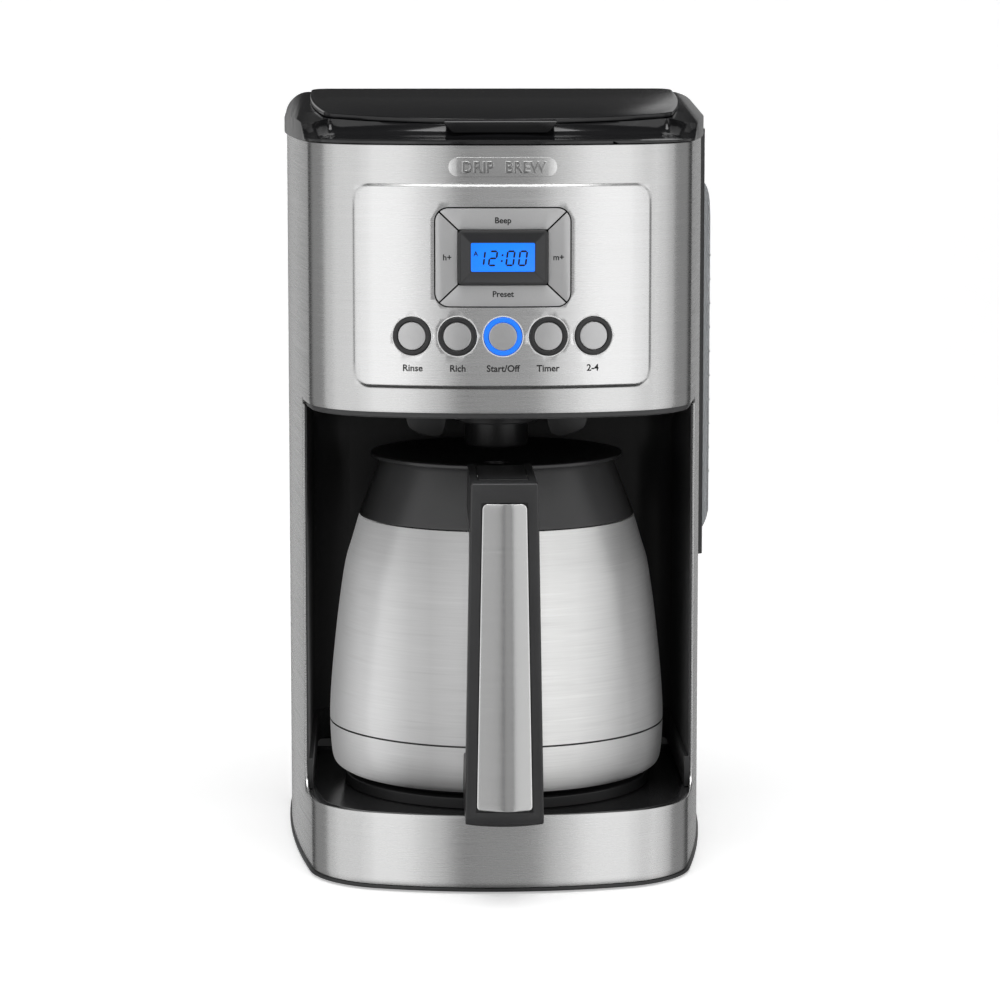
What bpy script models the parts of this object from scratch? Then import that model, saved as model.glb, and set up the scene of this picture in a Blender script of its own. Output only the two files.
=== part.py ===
# Drip coffee maker with a thermal carafe, built standing on the counter at z = 0.
# x = 0 is the plane of symmetry and the machine faces -y. Lengths are metres.
# A depth is measured towards the rear from the front-most point of the steel wrap.

import math

import bmesh
import bpy
from mathutils import Matrix, Vector

FRONT_Y = -0.1005
FIT_GAP = 0.0003

# Plan outline of the steel wrap: a wide front arc, a corner arc and a long side arc.
FRONT_RADIUS = 0.1893
FRONT_TURN = math.radians(17.45)
CORNER_RADIUS = 0.0441
CORNER_TURN = math.radians(79.85)
SIDE_RADIUS = 0.8060

STEEL_THICK = 0.0008
STEEL_BOTTOM = 0.0028
STEEL_TOP = 0.3368
STEEL_REAR = 0.1920

BAY_FLOOR = 0.0356
BAY_CEILING = 0.2180
BAY_EDGE = 0.0625
BAY_HALF_WIDTH = 0.0885
BAY_REAR = 0.1920

PANEL_WIDTH = 0.1337
PANEL_LOW = 0.2284
PANEL_HIGH = 0.3201
PANEL_DEPTH = -0.0009
PANEL_CORNER = 0.0080

BUTTON_PITCH = 0.0200
BUTTON_Z = 0.2523
RING_OUTER = 0.0084
RING_INNER = 0.0065
BUTTON_RADIUS = 0.0062

KEYPAD_Z = 0.2873
KEYPAD_WIDTH = 0.0598
KEYPAD_HEIGHT = 0.0434
BEZEL_WIDTH = 0.0396
BEZEL_HEIGHT = 0.0241
SCREEN_WIDTH = 0.0284
SCREEN_HEIGHT = 0.0128

DECK_OVERHANG = 0.0012
DECK_BOTTOM = 0.3371
DECK_FRONT_Z = 0.3416
DECK_REAR_Z = 0.3542
DECK_SLOPE_END = 0.1980
DECK_SLOPE = (DECK_REAR_Z - DECK_FRONT_Z) / DECK_SLOPE_END

# Plan outline of the lid, from the middle of its front edge: front, corner and side arcs.
LID_FRONT = 0.0415
LID_FRONT_RADIUS = 0.1180
LID_FRONT_TURN = math.radians(38.6)
LID_CORNER_RADIUS = 0.0180
LID_CORNER_TURN = math.radians(80.0)
LID_SIDE_RADIUS = 0.5160
LID_REAR = 0.1960
LID_THICK = 0.0022
HINGE_DEPTH = 0.2030
HINGE_Z = 0.3505
HINGE_X = 0.0600
PIN_RADIUS = 0.0015

REAR_HALF_WIDTH = 0.0990
REAR_DEPTH = 0.2265
REAR_CORNER = 0.0180
COVER_WALL = 0.0022

AXIS_DEPTH = 0.1070
CARAFE_Y = FRONT_Y + AXIS_DEPTH
ROUND_STEPS = 32
SMALL_STEPS = 20

CARAFE_OUTER = (
    (0.0735, 0.0392), (0.0772, 0.0420), (0.0786, 0.0490), (0.0792, 0.0640), (0.0784, 0.0800),
    (0.0766, 0.0990), (0.0745, 0.1170), (0.0716, 0.1360), (0.0683, 0.1475), (0.0650, 0.1587),
)


def clear_scene():
    for thing in list(bpy.data.objects):
        bpy.data.objects.remove(thing, do_unlink=True)


def material(name, colour, roughness, metallic):
    found = bpy.data.materials.get(name)
    if found:
        return found
    made = bpy.data.materials.new(name)
    made.use_nodes = True
    shader = made.node_tree.nodes["Principled BSDF"]
    shader.inputs["Base Color"].default_value = (*colour, 1.0)
    shader.inputs["Roughness"].default_value = roughness
    shader.inputs["Metallic"].default_value = metallic
    return made


def brushed_steel():
    return material("brushed_steel", (0.62, 0.62, 0.62), 0.34, 1.0)


def black_plastic():
    return material("black_plastic", (0.022, 0.022, 0.023), 0.42, 0.0)


def gloss_plastic():
    return material("gloss_plastic", (0.012, 0.012, 0.013), 0.16, 0.0)


def silver_key():
    return material("silver_key", (0.58, 0.58, 0.58), 0.38, 1.0)


def solid(points, faces):
    """A closed object facing out, made of these points and faces."""
    mesh = bpy.data.meshes.new("solid")
    mesh.from_pydata(points, [], faces)
    shape = bmesh.new()
    shape.from_mesh(mesh)
    bmesh.ops.recalc_face_normals(shape, faces=shape.faces)
    shape.to_mesh(mesh)
    shape.free()
    made = bpy.data.objects.new("solid", mesh)
    bpy.context.scene.collection.objects.link(made)
    return made


def extrude(outline, axis, low, high):
    """A prism: the outline is (x, y) for axis Z, (y, z) for axis X and (x, z) for axis Y."""
    place = {
        "X": lambda a, b, h: (h, a, b),
        "Y": lambda a, b, h: (a, h, b),
        "Z": lambda a, b, h: (a, b, h),
    }[axis]
    count = len(outline)
    points = [place(a, b, low) for a, b in outline] + [place(a, b, high) for a, b in outline]
    faces = [tuple(range(count)), tuple(range(count, 2 * count))]
    for i in range(count):
        j = (i + 1) % count
        faces.append((i, j, count + j, count + i))
    return solid(points, faces)


def box(low, high):
    outline = [(low[0], low[1]), (high[0], low[1]), (high[0], high[1]), (low[0], high[1])]
    return extrude(outline, "Z", low[2], high[2])


def lathe(profile, centre, steps=ROUND_STEPS):
    """Turns a closed (radius, z) profile about the upright line through centre."""
    points = []
    rings = []
    for radius, z in profile:
        if radius < 1e-9:
            rings.append([len(points)] * steps)
            points.append((centre[0], centre[1], z))
            continue
        rings.append([len(points) + i for i in range(steps)])
        for i in range(steps):
            angle = 2 * math.pi * i / steps
            x = centre[0] + radius * math.cos(angle)
            y = centre[1] + radius * math.sin(angle)
            points.append((x, y, z))
    faces = []
    for first, second in zip(rings, rings[1:] + rings[:1]):
        if first[0] == first[1] and second[0] == second[1]:
            continue
        for i in range(steps):
            j = (i + 1) % steps
            corners = [first[i], first[j], second[j], second[i]]
            faces.append(tuple(dict.fromkeys(corners)))
    return solid(points, faces)


def tube(path, radius, sides):
    """A solid round bar that follows the path and has flat ends."""
    path = [Vector(p) for p in path]
    points = []
    normal = Vector((0.0, 0.0, 1.0))
    for i, here in enumerate(path):
        along = (path[min(i + 1, len(path) - 1)] - path[max(i - 1, 0)]).normalized()
        if abs(along.dot(normal)) > 0.95:
            normal = Vector((1.0, 0.0, 0.0))
        normal = (normal - along * normal.dot(along)).normalized()
        other = along.cross(normal)
        for k in range(sides):
            angle = 2 * math.pi * k / sides
            points.append(here + radius * (math.cos(angle) * normal + math.sin(angle) * other))
    faces = [tuple(range(sides)), tuple(range(len(points) - sides, len(points)))]
    for i in range(len(path) - 1):
        for k in range(sides):
            j = (k + 1) % sides
            start = i * sides
            faces.append((start + k, start + j, start + sides + j, start + sides + k))
    return solid(points, faces)


def combine(target, tool, operation):
    """Cuts, joins or intersects the target with the tool, and removes the tool."""
    change = target.modifiers.new("Combine", "BOOLEAN")
    change.operation = operation
    change.solver = "EXACT"
    change.object = tool
    graph = bpy.context.evaluated_depsgraph_get()
    result = bpy.data.meshes.new_from_object(target.evaluated_get(graph))
    target.modifiers.clear()
    target.data = result
    bpy.data.objects.remove(tool, do_unlink=True)
    return target


def cut(target, *tools):
    for tool in tools:
        combine(target, tool, "DIFFERENCE")
    return target


def join(target, *tools):
    for tool in tools:
        combine(target, tool, "UNION")
    return target


def keep_common(target, *tools):
    for tool in tools:
        combine(target, tool, "INTERSECT")
    return target


def turned(thing, matrix):
    thing.data.transform(matrix)
    return thing


def finish(thing, name, look, origin=(0.0, 0.0, 0.0)):
    """Names the piece, gives it its material and puts its origin where it turns or slides."""
    thing.name = name
    thing.data.name = name
    thing.data.transform(Matrix.Translation(-Vector(origin)))
    thing.location = origin
    thing.data.materials.clear()
    thing.data.materials.append(look)
    return thing


def arc(centre, radius, start, end, steps):
    """Points on an arc; angles are degrees from the first axis of the plane."""
    points = []
    for i in range(steps + 1):
        angle = math.radians(start + (end - start) * i / steps)
        points.append((centre[0] + radius * math.cos(angle), centre[1] + radius * math.sin(angle)))
    return points


def rounded_rect(width, height, corner, centre=(0.0, 0.0), steps=4):
    points = []
    for k, (sx, sz) in enumerate(((1, 1), (-1, 1), (-1, -1), (1, -1))):
        middle = (
            centre[0] + sx * (width / 2 - corner),
            centre[1] + sz * (height / 2 - corner),
        )
        points += arc(middle, corner, 90 * k, 90 * k + 90, steps)
    return points


def half_outline(inset, last_depth):
    """The right half of the wrap outline, from the front centre back to last_depth."""
    def along(angle):
        return Vector((math.sin(angle), -math.cos(angle)))

    front_centre = Vector((0.0, FRONT_Y + FRONT_RADIUS))
    corner_centre = front_centre + (FRONT_RADIUS - CORNER_RADIUS) * along(FRONT_TURN)
    side_centre = corner_centre - (SIDE_RADIUS - CORNER_RADIUS) * along(CORNER_TURN)
    radius = SIDE_RADIUS - inset
    last = math.acos((side_centre.y - FRONT_Y - last_depth) / radius)
    points = []
    for centre, size, start, end, steps in (
        (front_centre, FRONT_RADIUS, 0.0, FRONT_TURN, 6),
        (corner_centre, CORNER_RADIUS, FRONT_TURN, CORNER_TURN, 6),
        (side_centre, SIDE_RADIUS, CORNER_TURN, last, 5),
    ):
        for i in range(1, steps + 1):
            point = centre + (size - inset) * along(start + (end - start) * i / steps)
            points.append((point.x, point.y))
    return points


def wrap_outline(inset, last_depth):
    """The outline from the left rear, round the front, to the right rear."""
    right = half_outline(inset, last_depth)
    left = [(-x, y) for x, y in right[::-1]]
    return left + [(0.0, FRONT_Y + inset)] + right


def closed_outline(inset, rear_depth, rear_corner=REAR_CORNER):
    """The wrap outline closed behind by a straight back with round corners."""
    front = wrap_outline(inset, rear_depth - rear_corner)
    reach = front[-1][0]
    back_y = FRONT_Y + rear_depth
    right = arc((reach - rear_corner, back_y - rear_corner), rear_corner, 0, 90, 4)[1:]
    return front + right + [(-x, y) for x, y in right[::-1]]


def lid_outline(inset):
    """The outline of the lid: a bowed front, round corners and a straight rear edge."""
    def along(angle):
        return Vector((math.sin(angle), -math.cos(angle)))

    front_centre = Vector((0.0, FRONT_Y + LID_FRONT + LID_FRONT_RADIUS))
    corner_centre = front_centre + (LID_FRONT_RADIUS - LID_CORNER_RADIUS) * along(LID_FRONT_TURN)
    side_centre = corner_centre - (LID_SIDE_RADIUS - LID_CORNER_RADIUS) * along(LID_CORNER_TURN)
    right = []
    for centre, size, start, end, steps in (
        (front_centre, LID_FRONT_RADIUS, 0.0, LID_FRONT_TURN, 6),
        (corner_centre, LID_CORNER_RADIUS, LID_FRONT_TURN, LID_CORNER_TURN, 4),
        (side_centre, LID_SIDE_RADIUS, LID_CORNER_TURN, math.pi / 2, 3),
    ):
        for i in range(1, steps + 1):
            point = centre + (size - inset) * along(start + (end - start) * i / steps)
            right.append((point.x, point.y))
    corner = 0.0080
    back_y = FRONT_Y + LID_REAR - inset
    right += arc((right[-1][0] - corner, back_y - corner), corner, 0, 90, 3)
    return [(-x, y) for x, y in right[::-1]] + [(0.0, FRONT_Y + LID_FRONT + inset)] + right


def band(outer_inset, inner_inset, last_depth, low, high):
    """A curved wall that follows the wrap outline between two insets."""
    outline = wrap_outline(outer_inset, last_depth) + wrap_outline(inner_inset, last_depth)[::-1]
    return extrude(outline, "Z", low, high)


def front_prism(outline_xz, deep=0.0450):
    """A prism through the curved front wall, from ahead of the machine."""
    return extrude(outline_xz, "Y", FRONT_Y - 0.0200, FRONT_Y + deep)


def panel_place(x, z):
    """Turns a piece built facing -y at the origin to stand square on the raised panel."""
    radius = FRONT_RADIUS - PANEL_DEPTH
    angle = math.asin(x / FRONT_RADIUS)
    here = Vector((radius * math.sin(angle), FRONT_Y + FRONT_RADIUS - radius * math.cos(angle), z))
    return Matrix.Translation(here) @ Matrix.Rotation(angle, 4, "Z")


def facing_front(profile, steps):
    """A lathe whose axis points along y: the profile is (radius, depth)."""
    made = lathe(profile, (0.0, 0.0), steps)
    return turned(made, Matrix.Rotation(-math.pi / 2, 4, "X"))


def steel_shroud():
    shroud = band(0.0, STEEL_THICK, STEEL_REAR, STEEL_BOTTOM, STEEL_TOP)
    middle = (0.0, (PANEL_LOW + PANEL_HIGH) / 2)
    height = PANEL_HIGH - PANEL_LOW
    raised = band(PANEL_DEPTH, STEEL_THICK / 2, 0.1000, PANEL_LOW, PANEL_HIGH)
    keep_common(raised, front_prism(rounded_rect(PANEL_WIDTH, height, PANEL_CORNER, middle, 5)))
    join(shroud, raised)
    keypad = rounded_rect(KEYPAD_WIDTH + 0.0008, KEYPAD_HEIGHT + 0.0008, 0.0064, (0.0, KEYPAD_Z))
    cut(shroud, front_prism(keypad))
    for k in range(-2, 3):
        hole = facing_front([(0.0, -0.01), (RING_OUTER + FIT_GAP, -0.01),
                             (RING_OUTER + FIT_GAP, 0.01), (0.0, 0.01)], SMALL_STEPS)
        cut(shroud, turned(hole, panel_place(k * BUTTON_PITCH, BUTTON_Z)))
    ahead = FRONT_Y - 0.0200
    edge = FRONT_Y + BAY_EDGE
    low_corner = 0.0110
    high_corner = 0.0030
    bay = [(ahead, BAY_FLOOR)]
    bay += arc((edge - low_corner, BAY_FLOOR + low_corner), low_corner, -90, 0, 5)
    bay += arc((edge - high_corner, BAY_CEILING - high_corner), high_corner, 0, 90, 3)
    bay += [(ahead, BAY_CEILING)]
    cut(shroud, extrude(bay, "X", -0.1200, 0.1200))
    return finish(shroud, "steel_shroud", brushed_steel())


def bay_liner():
    low = 0.0357
    high = 0.2148
    liner = extrude(wrap_outline(STEEL_THICK + FIT_GAP, 0.1955), "Z", low, high)
    start = FRONT_Y + BAY_EDGE
    keep_common(liner, box((-0.0955, start, 0.0), (0.0955, 0.1500, 0.3000)))
    corner = 0.0180
    deep = 0.2400
    centre_y = FRONT_Y + BAY_REAR - deep / 2
    space = rounded_rect(2 * BAY_HALF_WIDTH, deep, corner, (0.0, centre_y), 5)
    cut(liner, extrude(space, "Z", 0.0500, 0.3000))
    ledge = 0.0020
    tight = rounded_rect(2 * (BAY_HALF_WIDTH - ledge), deep, corner, (0.0, centre_y), 5)
    cut(liner, extrude(tight, "Z", 0.0200, 0.0600))
    return finish(liner, "bay_liner", black_plastic())


def base_tray():
    tray = extrude(closed_outline(STEEL_THICK + FIT_GAP, 0.1900, 0.0060), "Z", 0.0285, 0.0353)
    pocket = extrude(closed_outline(0.0055, 0.1850, 0.0060), "Z", 0.0310, 0.0400)
    return finish(cut(tray, pocket), "base_tray", black_plastic())


def carafe_platform():
    profile = [(0.0300, 0.0313), (0.0720, 0.0313), (0.0720, 0.0356), (0.0714, 0.0362),
               (0.0560, 0.0362), (0.0550, 0.0350), (0.0300, 0.0350)]
    return finish(lathe(profile, (0.0, CARAFE_Y)), "carafe_platform", black_plastic())


FOOT_SPOTS = ((-0.0640, 0.0420), (0.0640, 0.0420), (-0.0780, 0.1980), (0.0780, 0.1980))
SCREW_SPOTS = ((-0.0760, 0.0700), (0.0760, 0.0700), (-0.0560, 0.2060), (0.0560, 0.2060))


def base_plate():
    plate = extrude(closed_outline(-0.0009, 0.2274), "Z", 0.0010, 0.0025)
    join(plate, band(STEEL_THICK + FIT_GAP, 0.0031, 0.1880, 0.0020, 0.0080))
    for x, depth in FOOT_SPOTS:
        cut(plate, lathe([(0.0, 0.0), (0.0078, 0.0), (0.0078, 0.0100), (0.0, 0.0100)],
                         (x, FRONT_Y + depth), SMALL_STEPS))
    for x, depth in SCREW_SPOTS:
        cut(plate, lathe([(0.0, 0.0), (0.0033, 0.0), (0.0033, 0.0100), (0.0, 0.0100)],
                         (x, FRONT_Y + depth), 12))
    for k in range(6):
        y = FRONT_Y + 0.1480 + 0.0060 * k
        slot = rounded_rect(0.0500, 0.0022, 0.0010, (0.0, y), 2)
        cut(plate, extrude(slot, "Z", 0.0, 0.0100))
    return finish(plate, "base_plate", black_plastic())


def feet():
    rubber = material("rubber", (0.030, 0.030, 0.031), 0.85, 0.0)
    for k, (x, depth) in enumerate(FOOT_SPOTS):
        profile = [(0.0, 0.0), (0.0066, 0.0), (0.0075, 0.0008), (0.0075, 0.0028),
                   (0.0090, 0.0028), (0.0090, 0.0045), (0.0, 0.0045)]
        foot = lathe(profile, (x, FRONT_Y + depth), SMALL_STEPS)
        finish(foot, f"foot_{k + 1}", rubber)


def base_screws():
    zinc = material("zinc", (0.55, 0.55, 0.56), 0.35, 1.0)
    for k, (x, depth) in enumerate(SCREW_SPOTS):
        y = FRONT_Y + depth
        profile = [(0.0, 0.0014), (0.0026, 0.0014), (0.0030, 0.0018), (0.0030, 0.0030),
                   (0.0017, 0.0030), (0.0017, 0.0120), (0.0, 0.0120)]
        screw = lathe(profile, (x, y), 12)
        for width, length in ((0.0008, 0.0036), (0.0036, 0.0008)):
            cut(screw, box((x - width / 2, y - length / 2, 0.0), (x + width / 2, y + length / 2, 0.0022)))
        finish(screw, f"base_screw_{k + 1}", zinc)


def rear_outline(inset, first_depth):
    side = REAR_HALF_WIDTH - inset
    back = FRONT_Y + REAR_DEPTH - inset
    corner = REAR_CORNER - inset
    right = [(side, FRONT_Y + first_depth)] + arc((side - corner, back - corner), corner, 0, 90, 4)
    return right + [(-x, y) for x, y in right[::-1]]


WINDOW_LOW = 0.1390
WINDOW_HIGH = 0.3100
WINDOW_DEPTH = 0.2080
WINDOW_HALF = 0.0102
WINDOW_BASE_X = 0.1008
WINDOW_BULGE = 0.0082
WINDOW_PAD_X = 0.1050


def rear_cover():
    first = STEEL_REAR + FIT_GAP
    outline = rear_outline(0.0, first) + rear_outline(COVER_WALL, first)[::-1]
    cover = extrude(outline, "Z", STEEL_BOTTOM, STEEL_TOP)
    middle = FRONT_Y + WINDOW_DEPTH
    half = 0.0145
    pad = [(0.0980, middle - half), (WINDOW_PAD_X - 0.0020, middle - half),
           (WINDOW_PAD_X, middle - half + 0.0025), (WINDOW_PAD_X, middle + half - 0.0045),
           (0.0985, middle + half)]
    join(cover, extrude(pad, "Z", 0.1260, STEEL_TOP))
    gap = WINDOW_HALF + FIT_GAP
    cut(cover, box((WINDOW_BASE_X - FIT_GAP, middle - gap, WINDOW_LOW - FIT_GAP),
                   (0.1200, middle + gap, WINDOW_HIGH + FIT_GAP)))
    gland = facing_front([(0.0, -0.02), (0.0065, -0.02), (0.0065, 0.02), (0.0, 0.02)], SMALL_STEPS)
    cut(cover, turned(gland, Matrix.Translation((-0.0550, FRONT_Y + REAR_DEPTH, 0.0240))))
    for k in range(7):
        slot = rounded_rect(0.0440, 0.0030, 0.0014, (0.0, 0.0500 + 0.0070 * k), 2)
        cut(cover, extrude(slot, "Y", FRONT_Y + REAR_DEPTH - 0.0050, FRONT_Y + REAR_DEPTH + 0.0050))
    return finish(cover, "rear_cover", black_plastic())


def water_window():
    middle = FRONT_Y + WINDOW_DEPTH
    outline = [(WINDOW_BASE_X, middle - WINDOW_HALF)]
    for i in range(1, 10):
        angle = math.radians(-90 + 18 * i)
        x = WINDOW_BASE_X + WINDOW_BULGE * math.cos(angle)
        outline.append((x, middle + WINDOW_HALF * math.sin(angle)))
    outline.append((WINDOW_BASE_X, middle + WINDOW_HALF))
    window = extrude(outline, "Z", WINDOW_LOW, WINDOW_HIGH)
    high_x = WINDOW_BASE_X + WINDOW_BULGE + 0.0010
    low_x = WINDOW_BASE_X - 0.0010
    side = [(low_x, WINDOW_LOW - 0.001), (WINDOW_PAD_X, WINDOW_LOW - 0.001),
            (high_x - 0.0018, WINDOW_LOW + 0.0060), (high_x - 0.0008, WINDOW_LOW + 0.0200),
            (high_x, WINDOW_HIGH - 0.0500), (high_x - 0.0014, WINDOW_HIGH - 0.0130),
            (high_x - 0.0030, WINDOW_HIGH - 0.0030), (high_x - 0.0055, WINDOW_HIGH + 0.001),
            (low_x, WINDOW_HIGH + 0.001)]
    keep_common(window, extrude(side, "Y", middle - 0.0300, middle + 0.0300))
    clear = material("clear_plastic", (0.55, 0.57, 0.58), 0.12, 0.0)
    return finish(window, "water_window", clear)


def cord_gland():
    profile = [(0.0035, -0.0040), (0.0062, -0.0040), (0.0062, 0.0003), (0.0090, 0.0003),
               (0.0090, 0.0018), (0.0078, 0.0025), (0.0035, 0.0025)]
    gland = facing_front(profile, SMALL_STEPS)
    turned(gland, Matrix.Translation((-0.0550, FRONT_Y + REAR_DEPTH, 0.0240)))
    return finish(gland, "cord_gland", black_plastic())


def deck_height(depth):
    return DECK_FRONT_Z + DECK_SLOPE * min(depth, DECK_SLOPE_END)


def side_profile(points):
    """(depth, z) pairs turned into (y, z) pairs."""
    return [(FRONT_Y + depth, z) for depth, z in points]


# The hollow across the front of the deck: (x, depth) of the edge where it meets the top.
SCOOP_EDGE = (
    (0.0000, 0.0412), (0.0130, 0.0419), (0.0260, 0.0441), (0.0380, 0.0475), (0.0500, 0.0523),
    (0.0610, 0.0582), (0.0690, 0.0634), (0.0745, 0.0674), (0.0775, 0.0684), (0.0800, 0.0650),
    (0.0825, 0.0580), (0.0850, 0.0522), (0.0885, 0.0478), (0.0940, 0.0448), (0.1050, 0.0430),
)
SCOOP_FLOOR = 0.3382


def scoop_cutter():
    """What the hollow takes out: a flat floor that rises in a curve to its rear edge."""
    half = [(-x, depth) for x, depth in SCOOP_EDGE[:0:-1]]
    columns = half + list(SCOOP_EDGE)
    points = []
    for x, depth in columns:
        section = ((-0.0150, 0.0000), (depth - 0.0130, 0.0000), (depth - 0.0080, 0.0005),
                   (depth - 0.0042, 0.0019), (depth - 0.0016, 0.0041), (depth, 0.0075),
                   (depth + 0.0004, 0.0400), (-0.0150, 0.0400))
        points += [(x, FRONT_Y + d, SCOOP_FLOOR + z) for d, z in section]
    faces = [tuple(range(8)), tuple(range(len(points) - 8, len(points)))]
    for i in range(len(columns) - 1):
        for k in range(8):
            j = (k + 1) % 8
            faces.append((8 * i + k, 8 * i + j, 8 * i + 8 + j, 8 * i + 8 + k))
    return solid(points, faces)


def top_deck():
    deck = extrude(closed_outline(-DECK_OVERHANG, 0.2285), "Z", DECK_BOTTOM, 0.3600)
    join(deck, extrude(closed_outline(0.0040, 0.2200), "Z", 0.3260, 0.3400))
    top = side_profile([(-0.0100, 0.3000), (0.2500, 0.3000), (0.2500, DECK_REAR_Z),
                        (DECK_SLOPE_END, DECK_REAR_Z), (-0.0100, deck_height(-0.0100))])
    keep_common(deck, extrude(top, "X", -0.1200, 0.1200))
    hole = rounded_rect(0.1490, 0.1550, 0.0180, (0.0, FRONT_Y + 0.1170), 5)
    opening = extrude(hole, "Z", 0.3000, 0.3700)
    cut(deck, keep_common(opening, extrude(lid_outline(0.0024), "Z", 0.2900, 0.3800)))
    cut(deck, scoop_cutter())
    cut(deck, lathe([(0.0, 0.3000), (0.0664, 0.3000), (0.0664, 0.3343), (0.0, 0.3343)], (0.0, CARAFE_Y)))
    for side in (-1, 1):
        x = side * HINGE_X
        cut(deck, box((x - 0.0045, FRONT_Y + 0.1880, 0.3440), (x + 0.0045, FRONT_Y + 0.2090, 0.3700)))
        bore = extrude(arc((FRONT_Y + HINGE_DEPTH, HINGE_Z), PIN_RADIUS + FIT_GAP, 0, 345, 23),
                       "X", x - 0.0085, x + 0.0085)
        cut(deck, bore)
    return finish(deck, "top_deck", gloss_plastic())


def lid():
    inner = LID_THICK + FIT_GAP
    blank = extrude(lid_outline(0.0), "Z", 0.3300, 0.3700)
    slab = [(depth, DECK_FRONT_Z + DECK_SLOPE * depth + lift)
            for depth, lift in ((0.0, FIT_GAP), (0.2100, FIT_GAP), (0.2100, inner), (0.0, inner))]
    plate = keep_common(blank, extrude(side_profile(slab), "X", -0.1200, 0.1200))
    front_z = deck_height(LID_FRONT)
    grip = side_profile([
        (LID_FRONT + 0.0060, front_z + 0.0008), (LID_FRONT - 0.0015, front_z + 0.0006),
        (LID_FRONT - 0.0034, front_z - 0.0005), (LID_FRONT - 0.0040, front_z - 0.0035),
        (LID_FRONT - 0.0053, front_z - 0.0035), (LID_FRONT - 0.0053, front_z + 0.0004),
        (LID_FRONT - 0.0036, front_z + 0.0019), (LID_FRONT + 0.0060, front_z + 0.0024),
    ])
    lip = extrude(grip, "X", -0.0254, 0.0254)
    outline = [(-0.0254, front_z + 0.0100), (-0.0254, front_z + 0.0010), (-0.0208, front_z - 0.0040),
               (0.0208, front_z - 0.0040), (0.0254, front_z + 0.0010), (0.0254, front_z + 0.0100)]
    keep_common(lip, extrude(outline, "Y", FRONT_Y - 0.0100, FRONT_Y + 0.0600))
    join(plate, lip)
    for side in (-1, 1):
        x = side * HINGE_X
        y = FRONT_Y + HINGE_DEPTH
        ear = arc((y, HINGE_Z), 0.0030, -90, 90, 8)
        ear += [(FRONT_Y + 0.1950, 0.3555), (FRONT_Y + 0.1890, 0.3550), (FRONT_Y + 0.1890, 0.3490)]
        knuckle = extrude(ear, "X", x - 0.0040, x + 0.0040)
        bore = extrude(arc((y, HINGE_Z), PIN_RADIUS + FIT_GAP, 0, 345, 23), "X", x - 0.01, x + 0.01)
        join(plate, cut(knuckle, bore))
    return finish(plate, "lid", gloss_plastic(), (0.0, FRONT_Y + HINGE_DEPTH, HINGE_Z))


def lid_hinge_pins():
    steel = material("pin_steel", (0.50, 0.50, 0.50), 0.30, 1.0)
    for name, side in (("left", -1), ("right", 1)):
        x = side * HINGE_X
        pin = extrude(arc((FRONT_Y + HINGE_DEPTH, HINGE_Z), PIN_RADIUS, 0, 345, 23),
                      "X", x - 0.0080, x + 0.0080)
        finish(pin, f"lid_hinge_pin_{name}", steel)


def spray_head():
    profile = [(0.0, 0.0), (0.0380, 0.0), (0.0420, 0.0030), (0.0420, 0.0060),
               (0.0300, 0.0060), (0.0290, 0.0078), (0.0, 0.0078)]
    head = lathe(profile, (0.0, 0.0))
    for count, radius in ((5, 0.0120), (9, 0.0260)):
        for k in range(count):
            angle = 2 * math.pi * k / count
            hole = lathe([(0.0, -0.01), (0.0011, -0.01), (0.0011, 0.0030), (0.0, 0.0030)],
                         (radius * math.cos(angle), radius * math.sin(angle)), 6)
            cut(head, hole)
    lift = deck_height(AXIS_DEPTH) + FIT_GAP - 0.0082
    place = Matrix.Translation((0.0, CARAFE_Y, lift)) @ Matrix.Rotation(math.atan(DECK_SLOPE), 4, "X")
    return finish(turned(head, place), "spray_head", black_plastic(),
                  (0.0, FRONT_Y + HINGE_DEPTH, HINGE_Z))


TANK_HALF = 0.0840


def tank_profile(wall, top):
    """The (depth, z) section of the tank: a tall rear leg with a forward shoulder."""
    return [(0.1985 + wall, 0.0500 + wall), (0.2235 - wall, 0.0500 + wall), (0.2235 - wall, top),
            (0.1760 + wall, top), (0.1760 + wall, 0.2225 + wall), (0.1985 + wall, 0.2225 + wall)]


def water_tank():
    wall = 0.0018
    tank = extrude(side_profile(tank_profile(0.0, 0.3250)), "X", -TANK_HALF, TANK_HALF)
    inside = extrude(side_profile(tank_profile(wall, 0.3500)), "X", wall - TANK_HALF, TANK_HALF - wall)
    smoke = material("tank_plastic", (0.10, 0.11, 0.12), 0.30, 0.0)
    return finish(cut(tank, inside), "water_tank", smoke)


def filter_stick():
    profile = [(0.0, 0.0530), (0.0095, 0.0530), (0.0095, 0.0850), (0.0060, 0.0900),
               (0.0028, 0.0920), (0.0028, 0.3120), (0.0070, 0.3130), (0.0070, 0.3160), (0.0, 0.3160)]
    stick = lathe(profile, (0.0450, FRONT_Y + 0.2110), 16)
    return finish(stick, "charcoal_filter_holder", black_plastic())


def brew_housing():
    plate = extrude(closed_outline(STEEL_THICK + FIT_GAP, 0.1900, 0.0060), "Z", 0.2153, 0.2188)
    centre = (0.0, CARAFE_Y)
    chamber = lathe([(0.0640, 0.2170), (0.0660, 0.2170), (0.0660, 0.3340), (0.0640, 0.3340)], centre)
    join(plate, chamber)
    join(plate, lathe([(0.0175, 0.2030), (0.0195, 0.2030), (0.0215, 0.2170), (0.0175, 0.2170)], centre))
    for side in (-1, 1):
        wing = [(side * 0.0240, 0.2170), (side * 0.0240, 0.2020), (side * 0.0280, 0.1960),
                (side * 0.0400, 0.1990), (side * 0.0430, 0.2060), (side * 0.0430, 0.2170)]
        join(plate, extrude(wing, "Y", CARAFE_Y - 0.0060, CARAFE_Y - 0.0030))
    cut(plate, lathe([(0.0, 0.1900), (0.0175, 0.1900), (0.0175, 0.2300), (0.0, 0.2300)], centre))
    return finish(plate, "brew_housing", black_plastic())


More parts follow.
